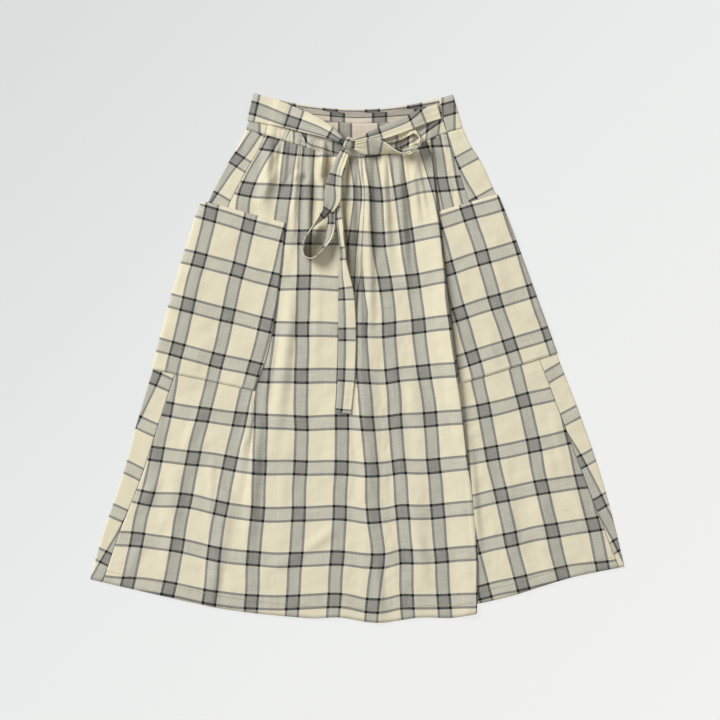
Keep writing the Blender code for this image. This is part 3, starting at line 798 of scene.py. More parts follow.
def front_height(x, down):
    """Height of the front's wall where it isn't raised by the knife fold."""
    fine = ridges(x, down, CREASES) - ridges(x, down, HOLLOWS) + soft_folds(x, front_y(x, down))
    gathers = GATHER_GAIN * ridges(x, down, RIDGES) + fine
    return FRONT_HEIGHT + lift(x, down) + np.maximum(gathers, LOWEST_GATHER)


def knife_puff(down):
    """How far the knife fold's edge stands above its layers."""
    return KNIFE_PUFF * bell(down - PUFF_MIDDLE, PUFF_REACH)


def knife_climb(x, down):
    """How far the front climbs, on the left of the knife fold's edge, onto the fold's layers."""
    full = knife(down, "edge_x") - knife(down, "depth") - 2 * KNIFE_BEND - WALL
    puffed = knife_puff(down) * ease((x - knife(down, "edge_x") + PUFF_RAMP) / PUFF_RAMP)
    return 2 * KNIFE_LEVEL * ease((x - full + KNIFE_RAMP) / KNIFE_RAMP) + puffed


def front_y(x, down):
    """Y of the front at X in the row `down`."""
    across = share_across(x, down)
    waves = sum(rise * bell(x - middle, reach) for middle, rise, reach in zip(*HEM_WAVES.values()))
    grown = ease((down - WAVES_FROM) / (1 - WAVES_FROM))
    return row_line(across, down) - dip(across, down) + waves * grown


def spread(start, end, count):
    """`count` columns from `start` to `end`, for each row."""
    return mix(start[:, None], end[:, None], np.linspace(0, 1, count))


def front_panel_points():
    """The front, from side seam to side seam, with the knife fold as a true three-layer fold."""
    down = PANEL_ROWS
    left = side(down, "left_x") + side(down, "left_seam") + SEAM_GAP / 2
    right = side(down, "right_x") - side(down, "right_seam") - SEAM_GAP / 2
    edge, depth, drop = (knife(down, name) for name in ("edge_x", "depth", "drop"))
    rows = down[:, None]
    # The part on the left climbs onto the fold's layers as it nears the edge.
    x_left = spread(left, edge - KNIFE_BEND - 2 * WALL, FRONT_LEFT_COLUMNS)
    z_left = front_height(x_left, rows) + knife_climb(x_left, rows)
    reach = (x_left - left[:, None]) / (edge - left)[:, None]
    pull = ease((reach - KNIFE_DROP_FROM) / (1 - KNIFE_DROP_FROM))
    y_left = front_y(x_left, rows) - drop[:, None] * pull
    # The fold turns under at its edge, runs back by its depth and turns again.
    turn = np.linspace(np.pi / 2, -np.pi / 2, TURN_COLUMNS)[None, :]
    base = FRONT_HEIGHT + np.zeros_like(edge)[:, None]
    x_out = (edge - KNIFE_BEND)[:, None] + KNIFE_BEND * np.cos(turn)
    z_out = base + knife_puff(rows) + UPPER_TURN + KNIFE_BEND * np.sin(turn)
    x_in = (edge - KNIFE_BEND - depth)[:, None] - KNIFE_BEND * np.cos(turn)
    z_in = base + LOWER_TURN + KNIFE_BEND * np.sin(turn)
    x_fold = np.concatenate([x_out, x_in], axis=1)
    z_fold = np.concatenate([z_out, z_in], axis=1)
    share = np.linspace(1, 0, x_fold.shape[1])[None, :]
    y_fold = front_y(x_fold, rows) - drop[:, None] * share
    x_right = spread(edge - depth + 2 * WALL, right, FRONT_RIGHT_COLUMNS)
    y_right = front_y(x_right, rows)
    z_right = front_height(x_right, rows)
    return np.stack([
        np.concatenate(parts, axis=1) for parts in (
            (x_left, x_fold, x_right), (y_left, y_fold, y_right), (z_left, z_fold, z_right))
    ], axis=-1)


def wrapped_columns(left, right, reaches, under):
    """One row of the back, from its left seam to its right one: X, and 1 on top to 0 underneath.

    `left` and `right` are the folds, `reaches` says how far its two ends come in on the front, and
    `under` has the columns underneath, in from each fold.
    """
    turn = np.linspace(np.pi / 2, -np.pi / 2, TURN_COLUMNS)
    bottom_in = np.array(under)
    middle = np.linspace(left + under[-1], right - under[-1], UNDER_COLUMNS + 2)[1:-1]
    x = np.concatenate([
        np.linspace(left + reaches[0], left + FOLD_CENTRE, WRAP_COLUMNS + 1)[:-1],
        left + FOLD_CENTRE - FOLD_RADIUS * np.cos(turn),
        left + bottom_in,
        middle,
        right - bottom_in[::-1],
        right - FOLD_CENTRE + FOLD_RADIUS * np.cos(turn[::-1]),
        np.linspace(right - FOLD_CENTRE, right - reaches[1], WRAP_COLUMNS + 1)[1:],
    ])
    round_z = 0.5 + 0.5 * np.sin(turn)
    strip = np.ones(WRAP_COLUMNS)
    underneath = np.zeros(2 * len(under) + UNDER_COLUMNS)
    return x, np.concatenate([strip, round_z, underneath, round_z[::-1], strip])


def back_y(x, down):
    """Y of the back at X in the row `down`, above the front's by its rise."""
    rise = mix(BACK_RISE_HEM, BACK_RISE_WAIST, (1 - down) ** BACK_RISE_FALL)
    return front_y(x, down) + arch(share_across(x, down), rise)


def back_panel_points():
    """The back, from its seam on the front's left, under the skirt, to its seam on the right."""
    points, tops = [], []
    for down in PANEL_ROWS:
        left, right = side(down, "left_x"), side(down, "right_x")
        x, on_top = wrapped_columns(left, right, back_reach(down), PANEL_UNDER)
        y = mix(back_y(x, down), front_y(x, down), on_top)
        soft = np.maximum(soft_folds(x, y), LOWEST_GATHER)
        z = BACK_HEIGHT + lift(x, down) + (2 * FOLD_RADIUS + soft) * on_top
        points.append(np.stack([x, y, z], axis=-1))
        tops.append(on_top)
    return np.array(points), np.array(tops)


def pocket_points(rows, mirror):
    """A pocket made from the panels' points, moved out: `mirror` is -1 on the right."""
    name = "left" if mirror > 0 else "right"
    along = np.linspace(0, 1, POCKET_ROWS)
    turn = np.linspace(np.pi / 2, -np.pi / 2, POCKET_TURN_COLUMNS)
    on_top = np.concatenate([
        np.ones(POCKET_FRONT_COLUMNS), 0.5 + 0.5 * np.sin(turn), np.zeros(POCKET_UNDER_COLUMNS),
    ])
    points = []
    for share, row in zip(along, mix(*rows, along)):
        fold = side(row, name + "_x")
        radius_x = FOLD_RADIUS + LAYER_STEP + read(POCKET_SHAPE, name + "_proud", share)
        if mirror > 0:
            edge = read(POCKET_SHAPE, "left_edge_x", share)
        else:
            edge = knife(row, "edge_x") + POCKET_CLEAR_OF_KNIFE
        distance = np.concatenate([
            np.linspace(abs(edge - fold), FOLD_CENTRE, POCKET_FRONT_COLUMNS + 1)[:-1],
            FOLD_CENTRE - radius_x * np.cos(turn),
            np.linspace(FOLD_CENTRE, POCKET_UNDER, POCKET_UNDER_COLUMNS + 1)[1:],
        ])
        x = fold + mirror * distance
        inner_x = np.clip(x, side(row, "left_x"), side(row, "right_x"))
        y = mix(back_y(inner_x, row), front_y(inner_x, row), on_top)
        z = mix(BACK_HEIGHT, front_height(inner_x, row) + LAYER_STEP, on_top)
        points.append(np.stack([x, y, z], axis=-1))
    return np.array(points)


def band_top(across, drop):
    """The line through the waistband's top corners, lowered by `drop`."""
    x, y = (mix(*ends, across) for ends in zip(BAND_TOP_LEFT, BAND_TOP_RIGHT))
    return x, y - drop


def front_band(across, up):
    """A point of the front waistband: `up` is 0 at the waist seam and 1 at the top edge."""
    low_x = mix(side(0, "left_x"), side(0, "right_x"), across)
    low_y = front_y(low_x, 0) + SEAM_GAP
    top_x, top_y = band_top(across, read(FRONT_BAND_TOP, "drop", across))
    mouth = MOUTH["height"] * bell(across - MOUTH["across"], MOUTH["half_width"])
    past_knife = ease((low_x - knife(0, "edge_x")) / KNIFE_FALL)
    low_z = front_height(low_x, 0) + knife_climb(low_x, 0) * (1 - past_knife)
    gathers = (low_z - FRONT_HEIGHT) * (1 - ease(up / GATHER_REACH))
    z = FRONT_HEIGHT + gathers + mouth * up * (1 + MOUTH["belly"] * (1 - up))
    return mix(low_x, top_x, up), mix(low_y, top_y, up), z


def front_band_points():
    """The front waistband, from side seam to side seam."""
    first = (side(0, "left_seam") + SEAM_GAP / 2) / width(0)
    last = 1 - (side(0, "right_seam") + SEAM_GAP / 2) / width(0)
    across = np.linspace(first, last, FRONT_BAND_COLUMNS)
    return np.array([np.stack(front_band(across, up), axis=-1) for up in FRONT_BAND_ROWS])


def back_band_points():
    """The back waistband, wrapped round both side folds like the back panel."""
    points, tops = [], []
    for up in BACK_BAND_ROWS:
        left = mix(side(0, "left_x"), BAND_TOP_LEFT[0], up)
        right = mix(side(0, "right_x"), BAND_TOP_RIGHT[0], up)
        share = (right - left) / width(0)
        reaches = [share * reach for reach in back_reach(0)]
        x, on_top = wrapped_columns(left, right, reaches, BACK_BAND_UNDER)
        across = (x - left) / (right - left)
        _, top_y = band_top(across, arch(across, BACK_BAND_DIP))
        seam_x = side(0, "left_x") + width(0) * across
        low_y = mix(back_y(seam_x, 0), front_y(seam_x, 0), on_top) + SEAM_GAP
        lean = BACK_BAND_LEAN * bell(across - LEAN_MIDDLE, LEAN_REACH) * up * (1 - on_top)
        z = BACK_HEIGHT + 2 * FOLD_RADIUS * on_top + lean
        points.append(np.stack([x, mix(low_y, top_y, up), z], axis=-1))
        tops.append(on_top)
    up = np.broadcast_to(np.array(BACK_BAND_ROWS)[:, None], np.shape(tops))
    return np.array(points), np.array(tops), up


def cloth_top(x, y):
    """Height of the top of the front's cloth under points, over its panel and its waistband."""
    low, high = -np.ones_like(x), np.ones_like(x)
    share = np.clip((x - BAND_TOP_LEFT[0]) / (BAND_TOP_RIGHT[0] - BAND_TOP_LEFT[0]), 0, 1)
    for _ in range(SEARCH_STEPS):
        down = (low + high) / 2
        _, band_y, band_z = front_band(share, np.maximum(-down, 0))
        on_panel = down >= 0
        row = np.maximum(down, 0)
        here = np.where(on_panel, front_y(x, row), band_y)
        low, high = np.where(here > y, down, low), np.where(here > y, high, down)
    panel_z = front_height(x, row) + knife_climb(x, row)
    return np.where(on_panel, panel_z, band_z) + WALL / 2


def draped_height(x, y):
    """The highest cloth near points, so that what lies there rests on the crests."""
    x, y = np.asarray(x, float), np.asarray(y, float)
    offsets = np.array([(i, j) for i in (-1, 0, 1) for j in (-1, 0, 1)]) * DRAPE_REACH
    near_x = x.reshape(1, -1) + offsets[:, :1]
    near_y = y.reshape(1, -1) + offsets[:, 1:]
    highest = cloth_top(near_x.ravel(), near_y.ravel()).reshape(near_x.shape).max(axis=0)
    return highest.reshape(x.shape)


def ribbon_points(stations, name):
    """A ribbon through its stations, with its own width and roll, clear of the cloth below it."""
    count = RIBBON_COUNTS[name]
    steps = np.hypot(np.diff(stations["x"]), np.diff(stations["y"]))
    travelled = np.concatenate([[0], np.cumsum(steps)])
    at = np.linspace(0, travelled[-1], count)
    x, y, clear, wide, roll = (
        smooth(travelled, stations[column], at) for column in RIBBON_COLUMNS.split()
    )
    roll = np.radians(roll)
    along_x, along_y = np.gradient(x, at), np.gradient(y, at)
    length = np.hypot(along_x, along_y)
    left_x, left_y = -along_y / length, along_x / length
    reach = np.linspace(-0.5, 0.5, RIBBON_ACROSS + 1)[:, None] * wide
    px = x + left_x * reach * np.cos(roll)
    py = y + left_y * reach * np.cos(roll)
    lowest = draped_height(px, py) + SEAM_GAP + TIE_WALL / 2
    drawn_in = np.clip(1 - wide / RIBBON_CHECK[name][2], 0, MOST_DRAWN_IN)
    share = np.linspace(0, 1, RIBBON_ACROSS + 1)[:, None]
    pleated = 0.5 - 0.5 * np.cos(2 * np.pi * PLEATS * share)
    pleats = PLEAT_HEIGHT * drawn_in * pleated * np.cos(roll)
    pz = lowest.max(axis=0) + clear + reach * np.sin(roll) + pleats
    return np.stack([px, py, np.maximum(pz, lowest)], axis=-1)


def run_on(stations, values, at):
    """`smooth`, and straight on past the first and the last station."""
    steps, rises = np.diff(stations), np.diff(values)
    before = np.minimum(at - stations[0], 0) * rises[0] / steps[0]
    after = np.maximum(at - stations[-1], 0) * rises[-1] / steps[-1]
    return smooth(stations, values, at) + before + after


def repeats(lines, along, across, repeat):
    """Place across the check, in repeats, of points.

    `lines` has the middle of each numbered band at stations along it. Gathers take away the ground
    between bands, and of a band what BANDS_SHOWN says.
    """
    station, *bands = lines
    numbers = [int(name.rsplit("_", 1)[1]) for name in bands]
    middles = [run_on(lines[station], lines[name], along) for name in bands]
    way = np.sign(middles[1] - middles[0])
    place = numbers[0] + np.minimum((across - middles[0]) * way, 0) / repeat
    for start, end, number, next_number in zip(middles, middles[1:], numbers, numbers[1:]):
        gap = np.maximum((end - start) * way, 1)
        passed = np.clip((across - start) * way, 0, gap)
        whole = next_number - number
        if whole > 1 or station != "y":
            kept = kept_end = np.minimum(KEPT_BAND, KEPT_SHARE * gap)
            drawn = drawn_end = kept
        else:
            drawn = drawn_end = KEPT_BAND
            kept, kept_end = (KEPT_BAND * shown(n, along) for n in (number, next_number))
            fit = np.minimum(1, KEPT_MOST * gap / (kept + kept_end))
            kept, kept_end = kept * fit, kept_end * fit
        before = np.clip(passed / kept, 0, 1) * drawn
        after = np.clip((passed - (gap - kept_end)) / kept_end, 0, 1) * drawn_end
        between = np.clip((passed - kept) / (gap - kept - kept_end), 0, 1)
        place = place + (before + after + (whole * repeat - drawn - drawn_end) * between) / repeat
    return place + np.maximum((across - middles[-1]) * way, 0) / repeat


def shown(number, y):
    """The share of a warp band's width that its gathers leave to be seen at Y."""
    name = f"band_{number}"
    if name not in BANDS_SHOWN:
        return np.ones_like(y)
    return np.interp(y, BANDS_SHOWN["y"], BANDS_SHOWN[name])


def wander(along, aside):
    """How far a thread strays at a place along it, in millimetres."""
    return sum(
        amount * np.sin(along / far + aside / wide + start)
        for far, wide, amount, start in zip(*WANDER.values()))


def check_repeat():
    """The woven check's repeat across and down, in millimetres."""
    sizes = bpy.context.scene.skirt_sizes
    return sizes.repeat_across / MM, sizes.repeat_down / MM


def check_place(warp, weft, x, y):
    """Each point's place in the check, in repeats, from its tables of warp and weft bands."""
    repeat_across, repeat_down = check_repeat()
    return np.stack([
        repeats(warp, y, x + wander(y, x), repeat_across),
        repeats(weft, x, y + wander(x, y), repeat_down),
    ], axis=-1)


def plain_check(x, y):
    """The check where no bands were given one by one, such as under the skirt."""
    repeat_across, repeat_down = check_repeat()
    return np.stack([
        (x - INSIDE_BAND_X) / repeat_across, (INSIDE_ROW_Y - y) / repeat_down], axis=-1)


def front_check(points):
    x, y = points[..., 0], points[..., 1]
    left = check_place(FRONT_WARP, FRONT_WEFT, x, y)
    right = check_place(FRONT_WARP_RIGHT, FRONT_WEFT_RIGHT, x, y)
    fold_end = FRONT_LEFT_COLUMNS + TURN_COLUMNS
    on_left = (np.arange(x.shape[1]) < fold_end)[None, :, None]
    return np.where(on_left, left, right)


def back_check(points, on_top):
    x, y = points[..., 0], points[..., 1]
    left = check_place(STRIP_LEFT_WARP, STRIP_LEFT_WEFT, x, y)
    right = check_place(STRIP_RIGHT_WARP, STRIP_RIGHT_WEFT, x, y)
    strip = np.where((x < 0)[..., None], left, right)
    return np.where((on_top > 0)[..., None], strip, plain_check(x, y))


def front_band_check(points):
    across = np.broadcast_to(np.linspace(0, 1, points.shape[1]), points.shape[:2])
    up = np.broadcast_to(np.array(FRONT_BAND_ROWS)[:, None], points.shape[:2])
    u = repeats(FRONT_BAND_WARP, up, points[..., 0], check_repeat()[0])
    middle = read(FRONT_BAND_WEFT, "up", across)
    return np.stack([u, (middle - up) * FRONT_BAND_REPEATS], axis=-1)


def back_band_check(points, on_top, up):
    x = points[..., 0]
    on_right = (on_top > 0) & (x > 0)
    u = np.where(
        on_right,
        (x - BACK_BAND_RIGHT) / BACK_BAND_REPEAT_RIGHT, (x - BACK_BAND_X) / BACK_BAND_REPEAT)
    u = u + FACING_SLIP * ((on_top == 0) & (up > FACING_EDGE))
    repeats_up = np.where(on_top > 0, BACK_BAND_ENDS, BACK_BAND_MIDDLE)
    return np.stack([u, (BACK_BAND_WEFT_UP - up) * repeats_up], axis=-1)


def path_length(line):
    """How far along a line each of its points lies."""
    return np.concatenate([[0], np.cumsum(np.linalg.norm(np.diff(line, axis=0), axis=1))])


def ribbon_check(points, name):
    first, repeat, cut, start, end = RIBBON_CHECK[name]
    travelled = path_length(points[points.shape[0] // 2])
    stripe = mix(start, end, ease(travelled / travelled[-1] * STRIPE_SLIDE))
    share = np.linspace(1, 0, points.shape[0])[:, None]
    v = np.broadcast_to((travelled - first) / repeat, points.shape[:2])
    return np.stack([(share * cut - stripe) / check_repeat()[0], v], axis=-1)


def linear(hex_colour):
    """An sRGB colour as `#rrggbb`, in the linear values that a shader uses."""
    channels = [int(hex_colour[i:i + 2], 16) / 255 for i in (1, 3, 5)]
    return [c / 12.92 if c <= 0.04045 else ((c + 0.055) / 1.055) ** 2.4 for c in channels] + [1]


def add_node(tree, kind, inputs=None, **settings):
    """Adds a node with its settings, and sets or links each of its inputs."""
    node = tree.nodes.new(kind)
    for name, value in settings.items():
        setattr(node, name, value)
    for name, value in (inputs or {}).items():
        if isinstance(value, bpy.types.NodeSocket):
            tree.links.new(value, node.inputs[name])
        else:
            node.inputs[name].default_value = value
    return node


def new_material(name, sockets):
    """A new material, with constants set on its shader's own sockets.

    An older one of the same name is removed, also from the pieces that have it.
    """
    old = bpy.data.materials.get(name)
    if old:
        bpy.data.materials.remove(old)
    material = bpy.data.materials.new(name)
    material.use_nodes = True
    shader = material.node_tree.nodes["Principled BSDF"]
    for socket, value in sockets.items():
        shader.inputs[socket].default_value = value
    return material, material.node_tree, shader


def check_bands(tree, uv):
    """The check's shade where warp and weft are added up, and the darker of the two alone."""
    sizes = bpy.context.scene.skirt_sizes
    # Distance from the nearest band's middle, across the warp in X and across the weft in Y.
    away = uv
    half, nothing = (0.5, 0.5, 0), (0, 0, 0)
    for operation, amount in (
        ("ADD", half), ("FRACTION", nothing), ("SUBTRACT", half), ("ABSOLUTE", nothing),
        ("MULTIPLY", [size / STRIPE_REACH for size in (*check_repeat(), 0)]),
    ):
        away = add_node(
            tree, "ShaderNodeVectorMath", {0: away, 1: amount}, operation=operation).outputs[0]
    distances = add_node(tree, "ShaderNodeSeparateXYZ", {0: away}).outputs
    shade = banded = 0.0
    for axis, band, dark in (
        ("X", sizes.warp_band, WARP_SHADE), ("Y", sizes.weft_band, WEFT_SHADE),
    ):
        stripe = add_node(tree, "ShaderNodeValToRGB", {0: distances[axis]})
        stops = stripe.color_ramp.elements
        line, ground = ((band + way * sizes.border) / 2 / MM for way in (-1, 1))
        places = [edge + way * LINE_BLUR for edge in (line, ground) for way in (-1, 1)]
        stops[0].position, stops[-1].position = (
            place / STRIPE_REACH for place in (places[0], places[-1]))
        for place in places[1:-1]:
            stops.new(place / STRIPE_REACH)
        for stop, value in zip(stops, (dark, BORDER_SHADE, BORDER_SHADE, 0)):
            stop.color = (value, value, value, 1)
        shade, banded = (
            add_node(
                tree, "ShaderNodeMath", {0: so_far, 1: stripe.outputs[0]}, operation=operation,
            ).outputs[0]
            for so_far, operation in ((shade, "ADD"), (banded, "MAXIMUM")))
    return shade, banded


def band_hatch(tree, threads, banded):
    """The twill-like hatch of dark threads inside the bands, drawn about six times too coarse."""
    hatch = add_node(tree, "ShaderNodeTexWave", {
        "Vector": threads, "Scale": 2 * math.pi / HATCH_PITCH / DIAGONAL_TURN,
        "Distortion": HATCH_STRAY, "Detail": 2.0, "Detail Scale": 1.4,
    }, bands_direction="DIAGONAL").outputs["Fac"]
    inside = add_node(
        tree, "ShaderNodeMath", {0: BORDER_SHADE, 1: banded}, operation="SUBTRACT").outputs[0]
    for operation, value in (("ADD", -0.5), ("MULTIPLY", banded), ("MULTIPLY", inside)):
        hatch = add_node(
            tree, "ShaderNodeMath", {0: hatch, 1: value}, operation=operation).outputs[0]
    return hatch


def yarn_slubs(tree, threads):
    """Slubs of both yarns added up: thicker stretches, long along the thread and narrow across."""
    uneven = 0.0
    for stretch in ((1, SLUB_WIDTH, 1), (SLUB_WIDTH, 1, 1)):
        yarn = add_node(tree, "ShaderNodeMapping", {"Vector": threads, "Scale": stretch}).outputs[0]
        slubs = add_node(
            tree, "ShaderNodeTexNoise", {"Vector": yarn, "Scale": SLUB_DENSITY, "Detail": 2.0})
        uneven = add_node(
            tree, "ShaderNodeMath", {0: uneven, 1: slubs.outputs["Fac"]}, operation="ADD",
        ).outputs[0]
    return uneven


def cloth_relief(tree, threads, uneven):
    """The normal of the weave and its slubs, on cloth with soft rumples."""
    # Threads stand proud of each other by about a tenth of a millimetre, drawn five times too wide.
    relief = uneven
    for direction in ("X", "Y"):
        weave = add_node(
            tree, "ShaderNodeTexWave",
            {"Vector": threads, "Scale": 2 * math.pi / THREAD_PITCH / AXIS_TURN},
            bands_direction=direction)
        relief = add_node(
            tree, "ShaderNodeMath", {0: weave.outputs["Fac"], 1: WEAVE_SHARE, 2: relief},
            operation="MULTIPLY_ADD").outputs[0]
    # Washed cloth that wasn't pressed is never quite flat, which gives it soft uneven shades.
    rumples = add_node(
        tree, "ShaderNodeTexNoise", {"Vector": threads, "Scale": 1 / RUMPLE_SIZE, "Detail": 1.5})
    soft = add_node(
        tree, "ShaderNodeBump", {"Height": rumples.outputs["Fac"], "Distance": RUMPLE_HEIGHT})
    return add_node(tree, "ShaderNodeBump", {
        "Height": relief, "Strength": RELIEF_STRENGTH, "Distance": RELIEF_HEIGHT,
        "Normal": soft.outputs[0],
    }).outputs[0]


def woven_cotton(name, colours, roughness):
    """Yarn-dyed plain-weave cotton, washed and not pressed.

    Its short loose fibres scatter light, so it is matt with a faint pale sheen at grazing angles.
    """
    _, tree, shader = new_material(name, {
        "Roughness": roughness, "Specular IOR Level": 0.25,
        "Sheen Weight": 0.12, "Sheen Roughness": 0.5,
    })
    uv = add_node(tree, "ShaderNodeUVMap", uv_map="check").outputs[0]
    threads = add_node(
        tree, "ShaderNodeVectorMath", {0: uv, 1: (*check_repeat(), 0)}, operation="MULTIPLY",
    ).outputs[0]
    shade, banded = check_bands(tree, uv)
    hatch = band_hatch(tree, threads, banded)
    uneven = yarn_slubs(tree, threads)
    mottle = add_node(tree, "ShaderNodeMath", {0: uneven, 1: -1.0}, operation="ADD").outputs[0]
    for change, depth in ((hatch, HATCH_DEPTH), (mottle, SLUB_SHADE)):
        shade = add_node(
            tree, "ShaderNodeMath", {0: change, 1: 2 * depth, 2: shade}, operation="MULTIPLY_ADD",
        ).outputs[0]
    shade = add_node(
        tree, "ShaderNodeMath", {0: shade, 1: 1 / FULL_SHADE}, operation="MULTIPLY").outputs[0]
    ramp = add_node(tree, "ShaderNodeValToRGB", {0: shade})
    stops = ramp.color_ramp.elements
    stops[0].color, stops[-1].color = linear(colours[0]), linear(colours[-1])
    for index, colour in enumerate(colours[1:-1], 1):
        stops.new(index / (len(colours) - 1)).color = linear(colour)
    tree.links.new(ramp.outputs[0], shader.inputs["Base Color"])
    tree.links.new(cloth_relief(tree, threads, uneven), shader.inputs["Normal"])


def check_cotton():
    """Both sides of the check cotton.

    On the wrong side the cream is paler and pinker, and the dark threads float less.
    """
    woven_cotton(OUTSIDE, OUTSIDE_COLOURS, 0.88)
    woven_cotton(INSIDE, INSIDE_COLOURS, 0.9)


def sewing_thread():
    """Spun polyester sewing thread: tight and smooth, so a little brighter than the cotton."""
    material, tree, shader = new_material("spun_sewing_thread", {
        "Base Color": linear(THREAD_COLOUR), "Roughness": 0.6})
    grain = add_node(tree, "ShaderNodeTexNoise", {"Scale": GRAIN_DENSITY, "Detail": 1.0})
    bump = add_node(
        tree, "ShaderNodeBump", {"Height": grain.outputs["Fac"], "Distance": GRAIN_HEIGHT})
    tree.links.new(bump.outputs[0], shader.inputs["Normal"])
    return material


def add_object(name, data):
    """Adds an object to the scene."""
    added = bpy.data.objects.new(name, data)
    bpy.context.scene.collection.objects.link(added)
    return added


def add_mesh(name, build, materials):
    """Adds what was built as a mesh object with its materials."""
    mesh = bpy.data.meshes.new(name)
    build.to_mesh(mesh)
    build.free()
    for material in materials:
        mesh.materials.append(material)
    return add_object(name, mesh)


def lay_cloth(node, points, check, wall, *sides):
    """A sheet of cloth through rows of points in millimetres, which stands for a CAD node.

    `sides` names its cotton: the right side's, and the wrong side's too where that shows.
    """
    rows, columns = points.shape[:2]
    build = bmesh.new()
    bmesh.ops.create_grid(build, x_segments=columns - 1, y_segments=rows - 1, size=0.5)
    layer = build.loops.layers.uv.new("check")
    places = {}
    for vertex in build.verts:
        column = round((vertex.co.x + 0.5) * (columns - 1))
        row = round((vertex.co.y + 0.5) * (rows - 1))
        vertex.co = (points[row, column] + TO_MIDDLE) * MM
        places[vertex] = check[row, column]
    for face in build.faces:
        face.smooth = True
        for loop in face.loops:
            loop[layer].uv = places[loop.vert]
    sheet = add_mesh(node + "_cloth", build, [bpy.data.materials[name] for name in sides])
    thickness = sheet.modifiers.new("Cloth thickness", "SOLIDIFY")
    thickness.thickness = wall * MM
    thickness.offset = 0
    thickness.material_offset = len(sides) - 1
    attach(sheet, "root")
    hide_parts(node)


def sew(name, lines):
    """Topstitching along lines of points in millimetres: a short bead of thread for each stitch."""
    pitch = bpy.context.scene.skirt_sizes.stitch / MM
    build = bmesh.new()
    for line in lines:
        travelled = path_length(line)
        for start in np.arange(0, travelled[-1] - pitch, pitch):
            at = start + np.linspace(0, STITCH_SHARE * pitch, len(STITCH_SWELL))
            path = np.stack([np.interp(at, travelled, line[:, axis]) for axis in range(3)], axis=-1)
            way = path[-1] - path[0]
            aside = np.cross(way, (0, 0, 1)) / np.linalg.norm(way)
            turn = np.linspace(0, 2 * np.pi, STITCH_SIDES, endpoint=False)[:, None]
            ring = THREAD / 2 * (np.cos(turn) * aside + np.sin(turn) * np.array((0, 0, 1)))
            rows = [
                [build.verts.new((place + swell * corner + TO_MIDDLE) * MM) for corner in ring]
                for place, swell in zip(path, STITCH_SWELL)
            ]
            for row, next_row in zip(rows, rows[1:]):
                for i in range(STITCH_SIDES):
                    j = (i + 1) % STITCH_SIDES
                    build.faces.new((row[i], row[j], next_row[j], next_row[i])).smooth = True
            build.faces.new(rows[0][::-1])
            build.faces.new(rows[-1])
    bmesh.ops.recalc_face_normals(build, faces=build.faces)
    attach(add_mesh(name, build, [sewing_thread()]), "root")


class SkirtSizes(bpy.types.PropertyGroup):
    """The woven check's sizes."""

    repeat_across: FloatProperty(
        name="Repeat across", description="From one warp band to the next", default=0.0678,
        min=0.01, unit="LENGTH")
    repeat_down: FloatProperty(
        name="Repeat down", description="From one weft band to the next", default=0.080,
        min=0.01, unit="LENGTH")
    warp_band: FloatProperty(
        name="Warp band",
        description="Width of a grey band down the cloth, between its border lines' middles",
        default=0.0207, min=0.002, unit="LENGTH")
    weft_band: FloatProperty(
        name="Weft band",
        description="Width of a grey band across the cloth, between its border lines' middles",
        default=0.0228, min=0.002, unit="LENGTH")
    border: FloatProperty(
        name="Border line", description="Width of the dark line on each side of a band",
        default=0.0043, min=0.0005, unit="LENGTH")
    stitch: FloatProperty(
        name="Stitch",
        description="From one topstitch to the next, drawn about twice as long as it is",
        default=0.005, min=0.001, unit="LENGTH")


class SkirtColours(bpy.types.PropertyGroup):
    """The stage's colours."""

    # The bright end of the floor's glow, which is painted light.
    floor: FloatVectorProperty(
        name="Floor", description="Colour of the pale floor", default=linear(FLOOR_PAINTED_LIGHT)[:3],
        size=3, min=0, max=1, subtype="COLOR")


class SKIRT_OT_panels(bpy.types.Operator):
    """Lays the back panel and the front panel"""

    bl_idname = "skirt.panels"
    bl_label = "Back and front panels"

    def execute(self, context):
        check_cotton()
        points, on_top = back_panel_points()
        lay_cloth("back_panel", points, back_check(points, on_top), WALL, OUTSIDE, INSIDE)
        points = front_panel_points()
        check = front_check(points)
        lay_cloth("front_panel", points[::-1], check[::-1], WALL, OUTSIDE, INSIDE)
        return {"FINISHED"}


class SKIRT_OT_pockets(bpy.types.Operator):
    """Lays the two patch pockets round the side folds"""

    bl_idname = "skirt.pockets"
    bl_label = "Patch pockets"

    def execute(self, context):
        for name, rows, mirror, warp, weft in (
            ("pocket_left", POCKET_LEFT, 1, POCKET_LEFT_WARP, POCKET_LEFT_WEFT),
            ("pocket_right", POCKET_RIGHT, -1, POCKET_RIGHT_WARP, POCKET_RIGHT_WEFT),
        ):
            points = pocket_points(rows, mirror)
            check = check_place(warp, weft, points[..., 0], points[..., 1])
            lay_cloth(name, points, check, WALL, OUTSIDE)
        return {"FINISHED"}


class SKIRT_OT_waistbands(bpy.types.Operator):
    """Lays the back waistband and the front one"""

    bl_idname = "skirt.waistbands"
    bl_label = "Waistbands"

    def execute(self, context):
        points, on_top, up = back_band_points()
        check = back_band_check(points, on_top, up)
        lay_cloth("waistband_back", points[::-1], check[::-1], WALL, OUTSIDE, INSIDE)
        points = front_band_points()
        lay_cloth("waistband_front", points, front_band_check(points), WALL, OUTSIDE, INSIDE)
        return {"FINISHED"}


class SKIRT_OT_sash(bpy.types.Operator):
    """Lays the two ties, the bow's loops and its long tail"""

    bl_idname = "skirt.sash"
    bl_label = "Sash and bow"

    def execute(self, context):
        for name, stations in (
            ("tie_left", LEFT_TIE), ("tie_right", RIGHT_TIE), ("bow_loop_right", RIGHT_LOOP),
            ("bow_loop_left", LEFT_LOOP), ("bow_tail", TAIL),
        ):
            points = ribbon_points(stations, name)
            lay_cloth(name, points, ribbon_check(points, name), TIE_WALL, OUTSIDE)
        return {"FINISHED"}


